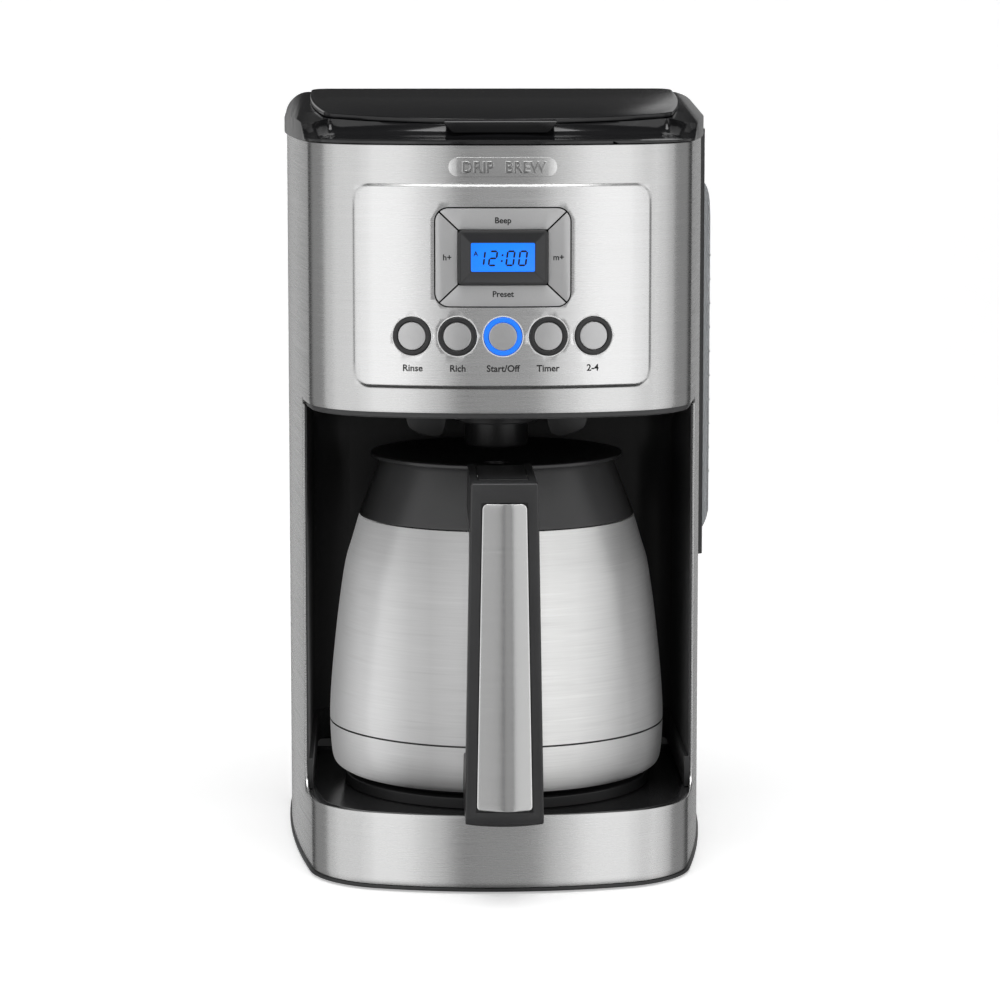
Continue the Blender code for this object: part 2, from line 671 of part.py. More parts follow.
def filter_basket():
    profile = [(0.0630, 0.3220), (0.0630, 0.3200), (0.0610, 0.3190), (0.0500, 0.2196),
               (0.0150, 0.2196), (0.0150, 0.1935), (0.0140, 0.1915), (0.0090, 0.1915),
               (0.0090, 0.2105), (0.0045, 0.2105), (0.0045, 0.2215), (0.0484, 0.2215),
               (0.0594, 0.3200), (0.0600, 0.3220)]
    return finish(lathe(profile, (0.0, CARAFE_Y)), "filter_basket", black_plastic())


def permanent_filter():
    gold = material("gold_mesh", (0.75, 0.52, 0.18), 0.38, 1.0)
    profile = [(0.0, 0.2290), (0.0470, 0.2290), (0.0566, 0.3150), (0.0575, 0.3190),
               (0.0555, 0.3190), (0.0555, 0.3150), (0.0460, 0.2302), (0.0, 0.2302)]
    return finish(lathe(profile, (0.0, CARAFE_Y)), "permanent_filter", gold)


def drip_stop():
    centre = (0.0, CARAFE_Y)
    rubber = material("silicone", (0.35, 0.33, 0.31), 0.60, 0.0)
    seal = [(0.0055, 0.2218), (0.0100, 0.2218), (0.0100, 0.2232), (0.0055, 0.2232)]
    finish(lathe(seal, centre, SMALL_STEPS), "drip_stop_gasket", rubber)
    profile = [(0.0, 0.1897), (0.0060, 0.1897), (0.0075, 0.1908), (0.0075, 0.1935), (0.0025, 0.1935),
               (0.0025, 0.2235), (0.0098, 0.2235), (0.0098, 0.2250), (0.0, 0.2250)]
    finish(lathe(profile, centre, SMALL_STEPS), "drip_stop_plunger", black_plastic(), (0.0, CARAFE_Y, 0.1897))
    turns = 4
    per_turn = 10
    low = 0.1945
    high = 0.2096
    path = []
    for i in range(turns * per_turn + 1):
        angle = 2 * math.pi * i / per_turn
        share = i / (turns * per_turn)
        path.append((0.0058 * math.cos(angle), CARAFE_Y + 0.0058 * math.sin(angle), low + (high - low) * share))
    steel = material("spring_steel", (0.55, 0.55, 0.55), 0.28, 1.0)
    finish(tube(path, 0.0005, 5), "drip_stop_spring", steel, (0.0, CARAFE_Y, 0.2103))


def water_path():
    metal = material("cast_aluminium", (0.60, 0.60, 0.61), 0.50, 1.0)
    radius = 0.0520
    gap = math.degrees(math.asin(0.0300 / radius))
    ring = arc((0.0, CARAFE_Y), radius, 90 + gap, 450 - gap, 22)
    finish(tube([(x, y, 0.0185) for x, y in ring], 0.0065, 8), "boiler_tube", metal)
    white = material("silicone_hose", (0.62, 0.62, 0.60), 0.55, 0.0)
    supply = [(0.0300, 0.1580, 0.0185), (0.0300, 0.1900, 0.0185), (0.0300, 0.2030, 0.0205),
              (0.0300, 0.2095, 0.0270), (0.0300, 0.2110, 0.0360), (0.0300, 0.2110, 0.0494)]
    finish(tube([(x, FRONT_Y + d, z) for x, d, z in supply], 0.0040, 8), "cold_hose", white)
    rise = [(-0.0300, 0.1580, 0.0185), (-0.0400, 0.1800, 0.0185), (-0.0650, 0.1990, 0.0185),
            (-0.0840, 0.2050, 0.0200), (-0.0905, 0.2060, 0.0270), (-0.0915, 0.2060, 0.0380),
            (-0.0915, 0.2060, 0.3200)]
    finish(tube([(x, FRONT_Y + d, z) for x, d, z in rise], 0.0035, 8), "riser_tube", white)


def control_board():
    board = box((-0.0500, FRONT_Y + 0.0200, 0.2350), (0.0500, FRONT_Y + 0.0216, 0.3150))
    green = material("circuit_board", (0.03, 0.16, 0.07), 0.45, 0.0)
    return finish(board, "control_board", green)


def display():
    bezel = extrude(rounded_rect(BEZEL_WIDTH, BEZEL_HEIGHT, 0.0015, (0.0, KEYPAD_Z), 3),
                    "Y", FRONT_Y - 0.0028, FRONT_Y + 0.0045)
    mouth = rounded_rect(BEZEL_WIDTH - 0.0014, BEZEL_HEIGHT - 0.0014, 0.0012, (0.0, KEYPAD_Z), 3)
    floor = rounded_rect(SCREEN_WIDTH + 0.0010, SCREEN_HEIGHT + 0.0010, 0.0008, (0.0, KEYPAD_Z), 3)
    points = [(x, FRONT_Y - 0.0030, z) for x, z in mouth] + [(x, FRONT_Y - 0.0008, z) for x, z in floor]
    count = len(mouth)
    faces = [tuple(range(count)), tuple(range(count, 2 * count))]
    for i in range(count):
        j = (i + 1) % count
        faces.append((i, j, count + j, count + i))
    cut(bezel, solid(points, faces))
    window = rounded_rect(SCREEN_WIDTH, SCREEN_HEIGHT, 0.0006, (0.0, KEYPAD_Z), 2)
    cut(bezel, front_prism(window))
    finish(bezel, "display_bezel", gloss_plastic())
    glass = rounded_rect(SCREEN_WIDTH - 0.0006, SCREEN_HEIGHT - 0.0006, 0.0005, (0.0, KEYPAD_Z), 2)
    screen = extrude(glass, "Y", FRONT_Y - 0.0007, FRONT_Y + 0.0035)
    blue = material("blue_screen", (0.01, 0.12, 0.90), 0.20, 0.0)
    finish(screen, "display_screen", blue)


def display_keys():
    half_w = KEYPAD_WIDTH / 2
    half_h = KEYPAD_HEIGHT / 2
    in_w = BEZEL_WIDTH / 2 + FIT_GAP
    in_h = BEZEL_HEIGHT / 2 + FIT_GAP
    split = 0.0004
    top = [(-in_w + split, in_h), (in_w - split, in_h), (half_w - split, half_h), (-half_w + split, half_h)]
    right = [(in_w, in_h - split), (in_w, split - in_h), (half_w, split - half_h), (half_w, half_h - split)]
    shapes = {
        "key_top": top,
        "key_bottom": [(x, -z) for x, z in top],
        "key_right": right,
        "key_left": [(-x, z) for x, z in right],
    }
    for name, shape in shapes.items():
        key = band(PANEL_DEPTH - 0.0006, PANEL_DEPTH + 0.0020, 0.0600, 0.2600, 0.3150)
        pad = rounded_rect(KEYPAD_WIDTH, KEYPAD_HEIGHT, 0.0060, (0.0, KEYPAD_Z), 5)
        keep_common(key, front_prism([(x, KEYPAD_Z + z) for x, z in shape]), front_prism(pad))
        x = sum(p[0] for p in shape) / 4
        z = sum(p[1] for p in shape) / 4
        finish(key, name, silver_key(), (x, FRONT_Y, KEYPAD_Z + z))


def round_buttons():
    names = ("button_clean", "button_strength", "button_power", "button_timer", "button_small_batch")
    for k, name in enumerate(names):
        place = panel_place((k - 2) * BUTTON_PITCH, BUTTON_Z)
        ring = [(RING_INNER, -0.0010), (RING_OUTER - 0.0005, -0.0010), (RING_OUTER, -0.0006),
                (RING_OUTER, 0.0050), (RING_INNER, 0.0050)]
        look = black_plastic()
        if name == "button_power":
            look = material("blue_ring", (0.02, 0.20, 0.95), 0.30, 0.0)
        finish(turned(facing_front(ring, SMALL_STEPS), place), name + "_ring", look)
        cap = [(0.0, -0.0008), (BUTTON_RADIUS - 0.0005, -0.0008), (BUTTON_RADIUS, -0.0004),
               (BUTTON_RADIUS, 0.0060), (0.0025, 0.0060), (0.0025, 0.0085), (0.0, 0.0085)]
        button = turned(facing_front(cap, SMALL_STEPS), place)
        finish(button, name, silver_key(), place.translation)


def badge():
    plate = band(-0.0011, -FIT_GAP, 0.0600, 0.3200, 0.3340)
    pill = rounded_rect(0.0480, 0.0086, 0.0042, (0.0, 0.3270), 4)
    return finish(keep_common(plate, front_prism(pill)), "badge", brushed_steel())


def carafe_shell():
    profile = list(CARAFE_OUTER) + [(r - STEEL_THICK, z) for r, z in CARAFE_OUTER[::-1]]
    return finish(lathe(profile, (0.0, CARAFE_Y)), "carafe_shell", brushed_steel())


def carafe_inside():
    outer = [(0.0, 0.0450), (0.0730, 0.0450), (0.0755, 0.0600), (0.0748, 0.0850), (0.0695, 0.1250),
             (0.0645, 0.1450), (0.0520, 0.1660), (0.0515, 0.1690)]
    inner = [(0.0507, 0.1690), (0.0512, 0.1656), (0.0636, 0.1446), (0.0686, 0.1248),
             (0.0740, 0.0850), (0.0747, 0.0602), (0.0724, 0.0458), (0.0, 0.0458)]
    finish(lathe(outer + inner, (0.0, CARAFE_Y)), "carafe_liner", brushed_steel())
    foot = [(0.0, 0.0400), (0.0600, 0.0400), (0.0600, 0.0366), (0.0660, 0.0366), (0.0670, 0.0386),
            (0.0724, 0.0392), (0.0724, 0.0415), (0.0, 0.0415)]
    finish(lathe(foot, (0.0, CARAFE_Y)), "carafe_base_cap", black_plastic())


COLLAR_OUTER = ((0.0650, 0.1592), (0.0605, 0.1710), (0.0552, 0.1848), (0.0545, 0.1864))


def carafe_collar():
    profile = list(COLLAR_OUTER) + [(0.0526, 0.1864), (0.0526, 0.1700), (0.0598, 0.1592)]
    return finish(lathe(profile, (0.0, CARAFE_Y)), "carafe_collar", black_plastic())


def carafe_lid():
    profile = [(0.0060, 0.1830), (0.0300, 0.1835), (0.0480, 0.1860), (0.0560, 0.1885),
               (0.0590, 0.1885), (0.0594, 0.1880), (0.0594, 0.1868), (0.0521, 0.1868),
               (0.0521, 0.1700), (0.0501, 0.1700), (0.0501, 0.1640), (0.0060, 0.1640)]
    return finish(lathe(profile, (0.0, CARAFE_Y)), "carafe_lid", black_plastic(), (0.0, CARAFE_Y, 0.1640))


HANDLE_FRONT = -0.0280
LEVER_DEPTH = 0.0160
LEVER_Z = 0.1873


def tapered(high_half, high, low_half, low):
    """A front view that widens downwards."""
    return [(-low_half, low), (low_half, low), (high_half, high), (-high_half, high)]


def clearance_body():
    """The carafe's outside grown by the fit gap, to shape what is fixed against it."""
    outline = [(0.0, 0.0300)] + [(r + FIT_GAP, z) for r, z in CARAFE_OUTER + COLLAR_OUTER]
    return lathe(outline + [(0.0600, 0.1866), (0.0600, 0.2100), (0.0, 0.2100)], (0.0, CARAFE_Y))


def carafe_handle():
    side = side_profile([
        (HANDLE_FRONT, 0.0420), (HANDLE_FRONT + 0.0030, 0.0378), (-0.0080, 0.0378), (0.0330, 0.0430),
        (0.0330, 0.0590), (0.0020, 0.0590), (-0.0070, 0.0640), (-0.0090, 0.0720), (-0.0090, 0.1520),
        (-0.0060, 0.1620), (0.0020, 0.1680), (0.0550, 0.1680), (0.0550, 0.1890),
        (HANDLE_FRONT + 0.0090, 0.1890), (HANDLE_FRONT + 0.0070, 0.1902),
        (HANDLE_FRONT + 0.0012, 0.1902), (HANDLE_FRONT, 0.1888),
    ])
    handle = extrude(side, "X", -0.0300, 0.0300)
    front = tapered(0.0148, 0.1920, 0.01745, 0.0370)
    keep_common(handle, extrude(front, "Y", FRONT_Y - 0.0600, FRONT_Y + 0.0700))
    cut(handle, clearance_body())
    pocket = tapered(0.0100, 0.1813, 0.01255, 0.0437)
    cut(handle, extrude(pocket, "Y", FRONT_Y - 0.0600, FRONT_Y + HANDLE_FRONT + 0.0013))
    cut(handle, box((-0.0113, FRONT_Y - 0.0060, 0.1815), (0.0113, FRONT_Y + 0.0600, 0.2000)))
    cut(handle, extrude(arc((FRONT_Y + LEVER_DEPTH, LEVER_Z), 0.0015, 0, 337.5, 15), "X", -0.0300, 0.0300))
    return finish(handle, "carafe_handle", black_plastic())


def handle_inlay():
    front = tapered(0.0097, 0.1810, 0.01225, 0.0440)
    first = FRONT_Y + HANDLE_FRONT
    plate = extrude(front, "Y", first - 0.0003, first + 0.0010)
    return finish(plate, "handle_inlay", brushed_steel())


def pour_lever():
    side = side_profile([(-0.0055, 0.1862), (0.0100, 0.1855), (0.0160, 0.1845), (0.0220, 0.1855),
                         (0.0440, 0.1862), (0.0440, 0.1892), (-0.0055, 0.1892)])
    lever = extrude(side, "X", -0.0110, 0.0110)
    cut(lever, extrude(arc((FRONT_Y + LEVER_DEPTH, LEVER_Z), 0.0015, 0, 337.5, 15), "X", -0.0300, 0.0300))
    finish(lever, "pour_lever", black_plastic(), (0.0, FRONT_Y + LEVER_DEPTH, LEVER_Z))
    pin = extrude(arc((FRONT_Y + LEVER_DEPTH, LEVER_Z), 0.0012, 0, 337.5, 15), "X", -0.0145, 0.0145)
    finish(pin, "lever_pin", material("pin_steel", (0.50, 0.50, 0.50), 0.30, 1.0))


def build():
    clear_scene()
    steel_shroud()
    bay_liner()
    base_tray()
    carafe_platform()
    base_plate()
    feet()
    base_screws()
    rear_cover()
    water_window()
    cord_gland()
    top_deck()
    lid()
    lid_hinge_pins()
    spray_head()
    water_tank()
    filter_stick()
    brew_housing()
    filter_basket()
    permanent_filter()
    drip_stop()
    water_path()
    control_board()
    display()
    display_keys()
    round_buttons()
    badge()
    carafe_shell()
    carafe_inside()
    carafe_collar()
    carafe_lid()
    carafe_handle()
    handle_inlay()
    pour_lever()


build()
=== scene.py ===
import math

import bmesh
import bpy
from mathutils import Matrix, Vector


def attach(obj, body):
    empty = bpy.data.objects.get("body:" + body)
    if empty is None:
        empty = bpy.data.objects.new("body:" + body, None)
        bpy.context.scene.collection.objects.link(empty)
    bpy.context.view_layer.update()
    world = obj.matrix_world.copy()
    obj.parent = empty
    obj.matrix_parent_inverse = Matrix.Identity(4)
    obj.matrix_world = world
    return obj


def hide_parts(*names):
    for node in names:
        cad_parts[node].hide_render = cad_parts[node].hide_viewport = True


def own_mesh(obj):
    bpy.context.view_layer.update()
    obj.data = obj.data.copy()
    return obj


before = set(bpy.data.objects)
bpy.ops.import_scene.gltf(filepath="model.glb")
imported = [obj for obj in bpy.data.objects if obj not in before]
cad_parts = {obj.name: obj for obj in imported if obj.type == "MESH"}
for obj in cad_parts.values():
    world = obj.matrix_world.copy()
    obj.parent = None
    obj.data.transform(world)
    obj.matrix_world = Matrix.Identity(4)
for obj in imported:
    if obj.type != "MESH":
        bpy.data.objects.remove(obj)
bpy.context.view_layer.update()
print("frame loaded with", len(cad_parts), "nodes")

frontY = -0.1005                     # the machine faces -y, and depths are measured back from here
gap = 0.0003
carafeY = frontY + 0.107


# ---- studio: camera, lights, floor ----

studio = {
    "cameraPlace": (-0.0485, -1.7705, 0.403), "cameraYaw": 1.619, "cameraPitch": 7.627,
    "lens": 136.36, "floorTone": 0.9, "floorGlow": 0.42, "worldTone": 0.045,
    "panelHeight": 0.4, "panelTall": 3.2,
    # name: (degrees round from the front, distance, width, brightness, then its own height and tallness)
    "panels": {
        "front": (1.0, 2.5, 0.85, 0.3),
        "leftInner": (-19.0, 2.2, 0.46, 0.72), "rightInner": (19.0, 2.2, 0.46, 0.7),
        "leftStrip": (-32.0, 2.2, 0.6, 1.06), "rightStrip": (32.0, 2.2, 0.6, 1.06),
        "leftOuter": (-47.0, 2.2, 0.56, 0.9), "rightOuter": (47.0, 2.2, 0.56, 0.9),
        "leftWide": (-64.0, 2.2, 0.74, 0.8), "rightWide": (64.0, 2.2, 0.74, 0.78),
        "leftFar": (-83.0, 2.1, 0.7, 0.78), "rightFar": (81.0, 2.1, 0.62, 0.74),
        "leftEdge": (-100.0, 2.0, 0.5, 0.62, 0.5, 3.2), "rightEdge": (96.0, 2.0, 0.46, 0.56, 0.5, 3.2),
        "leftBack": (-124.0, 2.0, 1.1, 0.22, 0.5, 3.0), "rightBack": (121.0, 2.0, 1.2, 0.22, 0.5, 3.0),
        "leftRim": (-163.0, 2.2, 0.6, 0.5, 0.2, 2.0), "rightRim": (165.0, 2.2, 0.6, 0.42, 0.2, 2.0),
    },
    "topPlace": (0.0, -0.55, 2.1), "topSize": 1.5, "topBrightness": 3.4,
    "floorFront": -3.0, "bendStart": 1.4, "bend": 0.8, "wallTop": 3.4, "halfWide": 2.6,
}


def grey(tone, blue=None):
    return (tone, tone, tone if blue is None else blue)


def facing(start, end):
    return (Vector(end) - Vector(start)).to_track_quat("-Z", "Y").to_euler()


def makeStudio():
    scene = bpy.context.scene
    scene.view_settings.view_transform = "Standard"
    yaw, pitch = math.radians(studio["cameraYaw"]), math.radians(studio["cameraPitch"])
    look = (math.sin(yaw) * math.cos(pitch), math.cos(yaw) * math.cos(pitch), -math.sin(pitch))
    camera = bpy.data.objects.new("camera", bpy.data.cameras.new("camera"))
    camera.data.lens = studio["lens"]
    camera.data.sensor_width = 36.0
    camera.data.clip_start = 0.05
    camera.location = studio["cameraPlace"]
    camera.rotation_euler = facing((0.0, 0.0, 0.0), look)
    scene.collection.objects.link(camera)
    scene.camera = camera

    world = bpy.data.worlds.new("studio")
    world.use_nodes = True
    world.node_tree.nodes["Background"].inputs["Color"].default_value = (*grey(studio["worldTone"]), 1.0)
    scene.world = world

    def panel(name, place, aim, width, tall, brightness):
        lamp = bpy.data.lights.new(name, "AREA")
        lamp.shape = "RECTANGLE"
        lamp.size, lamp.size_y = width, tall
        lamp.energy = brightness * math.pi * width * tall
        holder = bpy.data.objects.new(name, lamp)
        holder.location = place
        holder.rotation_euler = facing(place, aim)
        scene.collection.objects.link(holder)

    for name, (turn, distance, width, brightness, *own) in studio["panels"].items():
        height, tall = own or (studio["panelHeight"], studio["panelTall"])
        angle = math.radians(turn)
        place = (distance * math.sin(angle), -distance * math.cos(angle), height)
        panel(name, place, (0.0, 0.0, height), width, tall, brightness)
    size = studio["topSize"]
    panel("topPanel", studio["topPlace"], (0.0, 0.0, 0.1), size, size, studio["topBrightness"])

    backdropLook = bpy.data.materials.new("backdrop")
    backdropLook.use_nodes = True
    sockets = backdropLook.node_tree.nodes["Principled BSDF"].inputs
    sockets["Base Color"].default_value = (*grey(studio["floorTone"]), 1.0)
    sockets["Roughness"].default_value = 0.9
    sockets["Emission Color"].default_value = (1.0, 1.0, 1.0, 1.0)
    sockets["Emission Strength"].default_value = studio["floorGlow"]
    # one sheet: the floor, then a long curve up into the wall behind
    start, bend = studio["bendStart"], studio["bend"]
    line = [(studio["floorFront"], 0.0), (start, 0.0)]
    line += [(start + bend * math.sin(a), bend - bend * math.cos(a))
             for a in (math.radians(6 * k) for k in range(1, 16))]
    line.append((start + bend, studio["wallTop"]))
    points = [(x, y, z) for y, z in line for x in (-studio["halfWide"], studio["halfWide"])]
    faces = [(2 * i, 2 * i + 1, 2 * i + 3, 2 * i + 2) for i in range(len(line) - 1)]
    mesh = bpy.data.meshes.new("backdrop")
    mesh.from_pydata(points, [], faces)
    mesh.shade_smooth()
    mesh.materials.append(backdropLook)
    sheet = bpy.data.objects.new("backdrop", mesh)
    sheet.visible_glossy = False
    scene.collection.objects.link(sheet)


makeStudio()
print("studio ready")


# ---- shader maths ----

def mathNode(tree, operation, *terms, clamp=False):
    made = tree.nodes.new("ShaderNodeMath")
    made.operation = operation
    made.use_clamp = clamp
    for socket, term in zip(made.inputs, terms):
        if isinstance(term, Signal):
            tree.links.new(term.socket, socket)
        else:
            socket.default_value = term
    return Signal(tree, made.outputs[0])


class Signal:                        # a socket that can stand in a sum
    def __init__(self, tree, socket):
        self.tree = tree
        self.socket = socket

    def __add__(self, other):
        return mathNode(self.tree, "ADD", self, other)

    __radd__ = __add__

    def __sub__(self, other):
        return mathNode(self.tree, "SUBTRACT", self, other)

    def __rsub__(self, other):
        return mathNode(self.tree, "SUBTRACT", other, self)

    def __mul__(self, other):
        return mathNode(self.tree, "MULTIPLY", self, other)

    __rmul__ = __mul__

    def __truediv__(self, other):
        return mathNode(self.tree, "DIVIDE", self, other)

    def __rtruediv__(self, other):
        return mathNode(self.tree, "DIVIDE", other, self)

    def __lt__(self, level):
        return mathNode(self.tree, "LESS_THAN", self, level)

    def __abs__(self):
        return mathNode(self.tree, "ABSOLUTE", self)

    def sine(self):
        return mathNode(self.tree, "SINE", self)

    def between(self, low, high):    # 0 at low, 1 at high, held there beyond
        return mathNode(self.tree, "MULTIPLY", self - low, 1.0 / (high - low), clamp=True)


class Nodes:                         # sockets take a number, another socket or a signal
    def node(self, kind, sockets=None, **settings):
        made = self.tree.nodes.new(kind)
        for key, value in settings.items():
            setattr(made, key, value)
        for key, value in (sockets or {}).items():
            self.join(made.inputs[key], value)
        return made

    def join(self, socket, value):
        if isinstance(value, Signal):
            value = value.socket
        if isinstance(value, bpy.types.NodeSocket):
            self.tree.links.new(value, socket)
        else:
            socket.default_value = value


class Finish(Nodes):                 # one material, built up from its own nodes
    def __init__(self, name, colour, roughness, metallic=0.0, **fixed):
        self.material = bpy.data.materials.new(name)
        self.material.use_nodes = True
        self.tree = self.material.node_tree
        self.shader = self.tree.nodes["Principled BSDF"]
        self.place = self.node("ShaderNodeTexCoord").outputs["Object"]
        self.feed("Base Color", (*colour, 1.0))
        self.feed("Roughness", roughness)
        self.feed("Metallic", metallic)
        for socket, value in fixed.items():
            self.feed(socket.replace("_", " "), value)

    def feed(self, socket, value):
        self.join(self.shader.inputs[socket], value)

    def axes(self):
        split = self.node("ShaderNodeSeparateXYZ", {"Vector": self.place})
        return [Signal(self.tree, split.outputs[k]) for k in range(3)]

    def scaled(self, scale):         # in repeats per metre
        scale = scale if isinstance(scale, tuple) else grey(scale)
        return self.node("ShaderNodeMapping", {"Vector": self.place, "Scale": scale}).outputs["Vector"]

    def noise(self, scale, detail=2.0, rough=0.5):
        made = self.node("ShaderNodeTexNoise", {
            "Vector": self.scaled(scale), "Scale": 1.0, "Detail": detail, "Roughness": rough})
        return Signal(self.tree, made.outputs["Fac"])

    def cells(self, scale):
        made = self.node("ShaderNodeTexVoronoi", {"Vector": self.scaled(scale), "Scale": 1.0})
        return Signal(self.tree, made.outputs["Distance"])

    def blend(self, amount, first, second):
        made = self.node("ShaderNodeMix", data_type="RGBA")
        self.join(made.inputs[0], amount)
        for k, colour in ((6, first), (7, second)):
            self.join(made.inputs[k], (*colour, 1.0) if isinstance(colour, tuple) else colour)
        return made.outputs[2]

    def ramp(self, amount, tones):   # each tone is (position, grey, its blue where that differs)
        made = self.node("ShaderNodeValToRGB", {"Fac": amount})
        elements = made.color_ramp.elements
        while len(elements) < len(tones):
            elements.new(0.5)
        for element, (position, *tone) in zip(elements, tones):
            element.position = position
            element.color = (*grey(*tone), 1.0)
        return made.outputs["Color"]

    def relief(self, height, strength, distance):
        made = self.node("ShaderNodeBump", {"Height": height, "Strength": strength, "Distance": distance})
        self.feed("Normal", made.outputs["Normal"])


# ---- finishes ----

brushed = {
    # name: (tone, roughness, length scale of the brushing, depth)
    "wrapSteel": (0.74, 0.27, 30.0, 0.22), "badgeSteel": (0.76, 0.25, 34.0, 0.1),
    "letterSteel": (0.48, 0.22, 34.0, 0.06), "inlaySteel": (0.8, 0.22, 40.0, 0.2),
}
plastics = {
    # name: (colour, roughness, texture scale, depth)
    "satinBlack": (grey(0.02, 0.021), 0.36, 1500.0, 0.16),
    "softBlack": (grey(0.024, 0.025), 0.46, 1300.0, 0.28),
    "glossBlack": (grey(0.011, 0.012), 0.16, 420.0, 0.03),
    "collarBlack": (grey(0.056, 0.057), 0.34, 1500.0, 0.1),
    "innerBlack": (grey(0.028), 0.5, 900.0, 0.25),
    "ringBlack": (grey(0.022, 0.023), 0.32, 1800.0, 0.08),
    "inkBlack": (grey(0.004), 0.6, 2500.0, 0.05),
    "levelMark": (grey(0.5), 0.45, 2000.0, 0.05),
    "rimBlack": (grey(0.04, 0.041), 0.3, 1500.0, 0.1),
    "bayBlack": (grey(0.044, 0.045), 0.34, 1500.0, 0.12),
    "trayBlack": (grey(0.03, 0.031), 0.16, 1500.0, 0.04),
    "bezelBlack": (grey(0.03, 0.031), 0.38, 1600.0, 0.06),
    "handleBlack": (grey(0.03, 0.031), 0.4, 1500.0, 0.12),
    # painted highlight: a near-white ring that stands for the light the steel's edge catches round each button
    # hole
    "brightLip": (grey(0.78), 0.3, 1800.0, 0.05),
    "rubber": (grey(0.026), 0.82, 800.0, 0.45),
    "silicone": ((0.34, 0.32, 0.3), 0.55, 500.0, 0.15),
    "hose": (grey(0.62, 0.59), 0.48, 400.0, 0.12),
}
keyMetals = {
    # name: (tone, metallic, roughness, speck and haze scales, share of speck, darkest, lightest, swing, depth)
    "silverKey": (0.5, 0.55, 0.4, 4200.0, 60.0, 0.7, 0.44, 0.6, 0.16, 0.1),
    "buttonCap": (0.58, 0.75, 0.34, 3600.0, 90.0, 0.6, 0.5, 0.68, 0.14, 0.08),
}
metals = {
    # name: (colour, roughness, speckle scale, strength and depth)
    "castAluminium": (grey(0.6, 0.61), 0.48, 700.0, 0.5, 0.0003),
    "springSteel": (grey(0.6), 0.22, 1800.0, 0.1, 0.00008),
    "pinSteel": (grey(0.55), 0.26, 1500.0, 0.1, 0.00008),
    "zincPlate": ((0.56, 0.57, 0.6), 0.32, 900.0, 0.25, 0.0001),
    "frameSteel": (grey(0.62), 0.3, 1300.0, 0.12, 0.00008),
}
# the raised panel's patch of painted sheen: where it lies, and how much lighter its steel is painted
panelSheenPatch = {"halfWide": (0.0662, 0.0646), "halfTall": (0.0452, 0.0436), "middle": 0.27425, "lift": 1.16}


def brushing(steel, lineScale, dashScale):
    # the brushing runs level, so the noise is long across and very short up and down
    fine = steel.noise(lineScale, 2.0, 0.6)
    dashes = steel.noise(dashScale, 1.0)
    cloud = steel.noise((16.0, 16.0, 9.0))
    marks = dashes.between(0.6, 0.74) - dashes.between(0.4, 0.26)
    shade = 0.5 + (fine - 0.5) * 0.8 + marks * 0.25 + (cloud - 0.5) * 0.25
    wear = (fine - 0.5) * 0.08 + marks * 0.02 + (cloud - 0.5) * 0.03
    return shade.between(0.0, 1.0), wear, fine * 0.8 + dashes * 0.2


def brushedFinish(name, tone, roughness, along, depth):
    steel = Finish(name, grey(tone), roughness, 1.0, Anisotropic=0.45, Anisotropic_Rotation=0.25)
    shade, wear, height = brushing(steel, (along, along, 1500.0), (along * 0.55, along * 0.55, 510.0))
    dark, light = tone * 0.94, min(1.0, tone * 1.05)
    colour = steel.blend(shade, grey(dark), grey(light, light * 0.995))
    if name == "wrapSteel":          # painted sheen: the raised panel is a lighter copy of the same steel
        x, y, z = steel.axes()
        wide, tall = abs(x).between(*panelSheenPatch["halfWide"]), abs(z - panelSheenPatch["middle"])
        inside = wide * tall.between(*panelSheenPatch["halfTall"]) * (y < 0.0)
        lift = panelSheenPatch["lift"]
        colour = steel.blend(inside, colour, steel.blend(shade, grey(dark * lift), grey(light * lift)))
    steel.feed("Base Color", colour)
    steel.feed("Roughness", roughness + wear)
    steel.relief(height, depth, 0.00003)
    return steel.material


def carafeFinish():
    # a soft steel with painted reflections, upright bands of light and dark across its width, and a painted glow
    # that is strongest at its left edge
    steel = Finish("carafeSteel", grey(0.86), 0.36, 0.35, Anisotropic=0.4, Anisotropic_Rotation=0.25,
                   Emission_Strength=1.0)
    shade, wear, height = brushing(steel, (34.0, 34.0, 1700.0), (22.0, 22.0, 560.0))
    x, y, z = steel.axes()
    across = (x + 0.08) / 0.16
    seam = abs(z - 0.0614) < 0.00042
    # painted reflections: the base colour runs lighter and darker in upright bands across the carafe's width
    paintedReflectionBands = steel.ramp(across, [(0.0, 0.9), (0.17, 0.74), (0.3, 0.58), (0.42, 0.7), (0.58, 0.96, 0.95),
                                (0.72, 0.92, 0.91), (0.86, 0.62), (1.0, 0.86)])
    steel.feed("Base Color", steel.blend(seam, steel.blend(shade * 0.26, paintedReflectionBands, grey(0.2)), grey(0.04)))
    # painted glow: the surface gives out light, most at its left edge and in a band just right of its middle
    glow = steel.ramp(across, [(0.0, 0.24), (0.1, 0.2), (0.24, 0.02), (0.56, 0.02), (0.64, 0.12, 0.118),
                               (0.74, 0.07), (0.84, 0.01), (1.0, 0.04)])
    steel.feed("Emission Color", steel.blend(seam, glow, grey(0.0)))
    steel.feed("Roughness", 0.36 + wear)
    steel.relief(height, 0.2, 0.00003)
    return steel.material


def plasticFinish(name, colour, roughness, texture, depth):
    plastic = Finish(name, colour, roughness)
    grain, patch = plastic.noise(texture, 3.0, 0.6), plastic.noise(38.0)
    dark, light = tuple(c * 0.88 for c in colour), tuple(c * 1.25 + 0.002 for c in colour)
    plastic.feed("Base Color", plastic.blend((patch - 0.5) * 0.8 + grain * 0.5, dark, light))
    plastic.feed("Roughness", roughness + (grain - 0.5) * 0.1 + (patch - 0.5) * 0.07)
    plastic.relief(grain, depth, 0.00008)
    return plastic.material


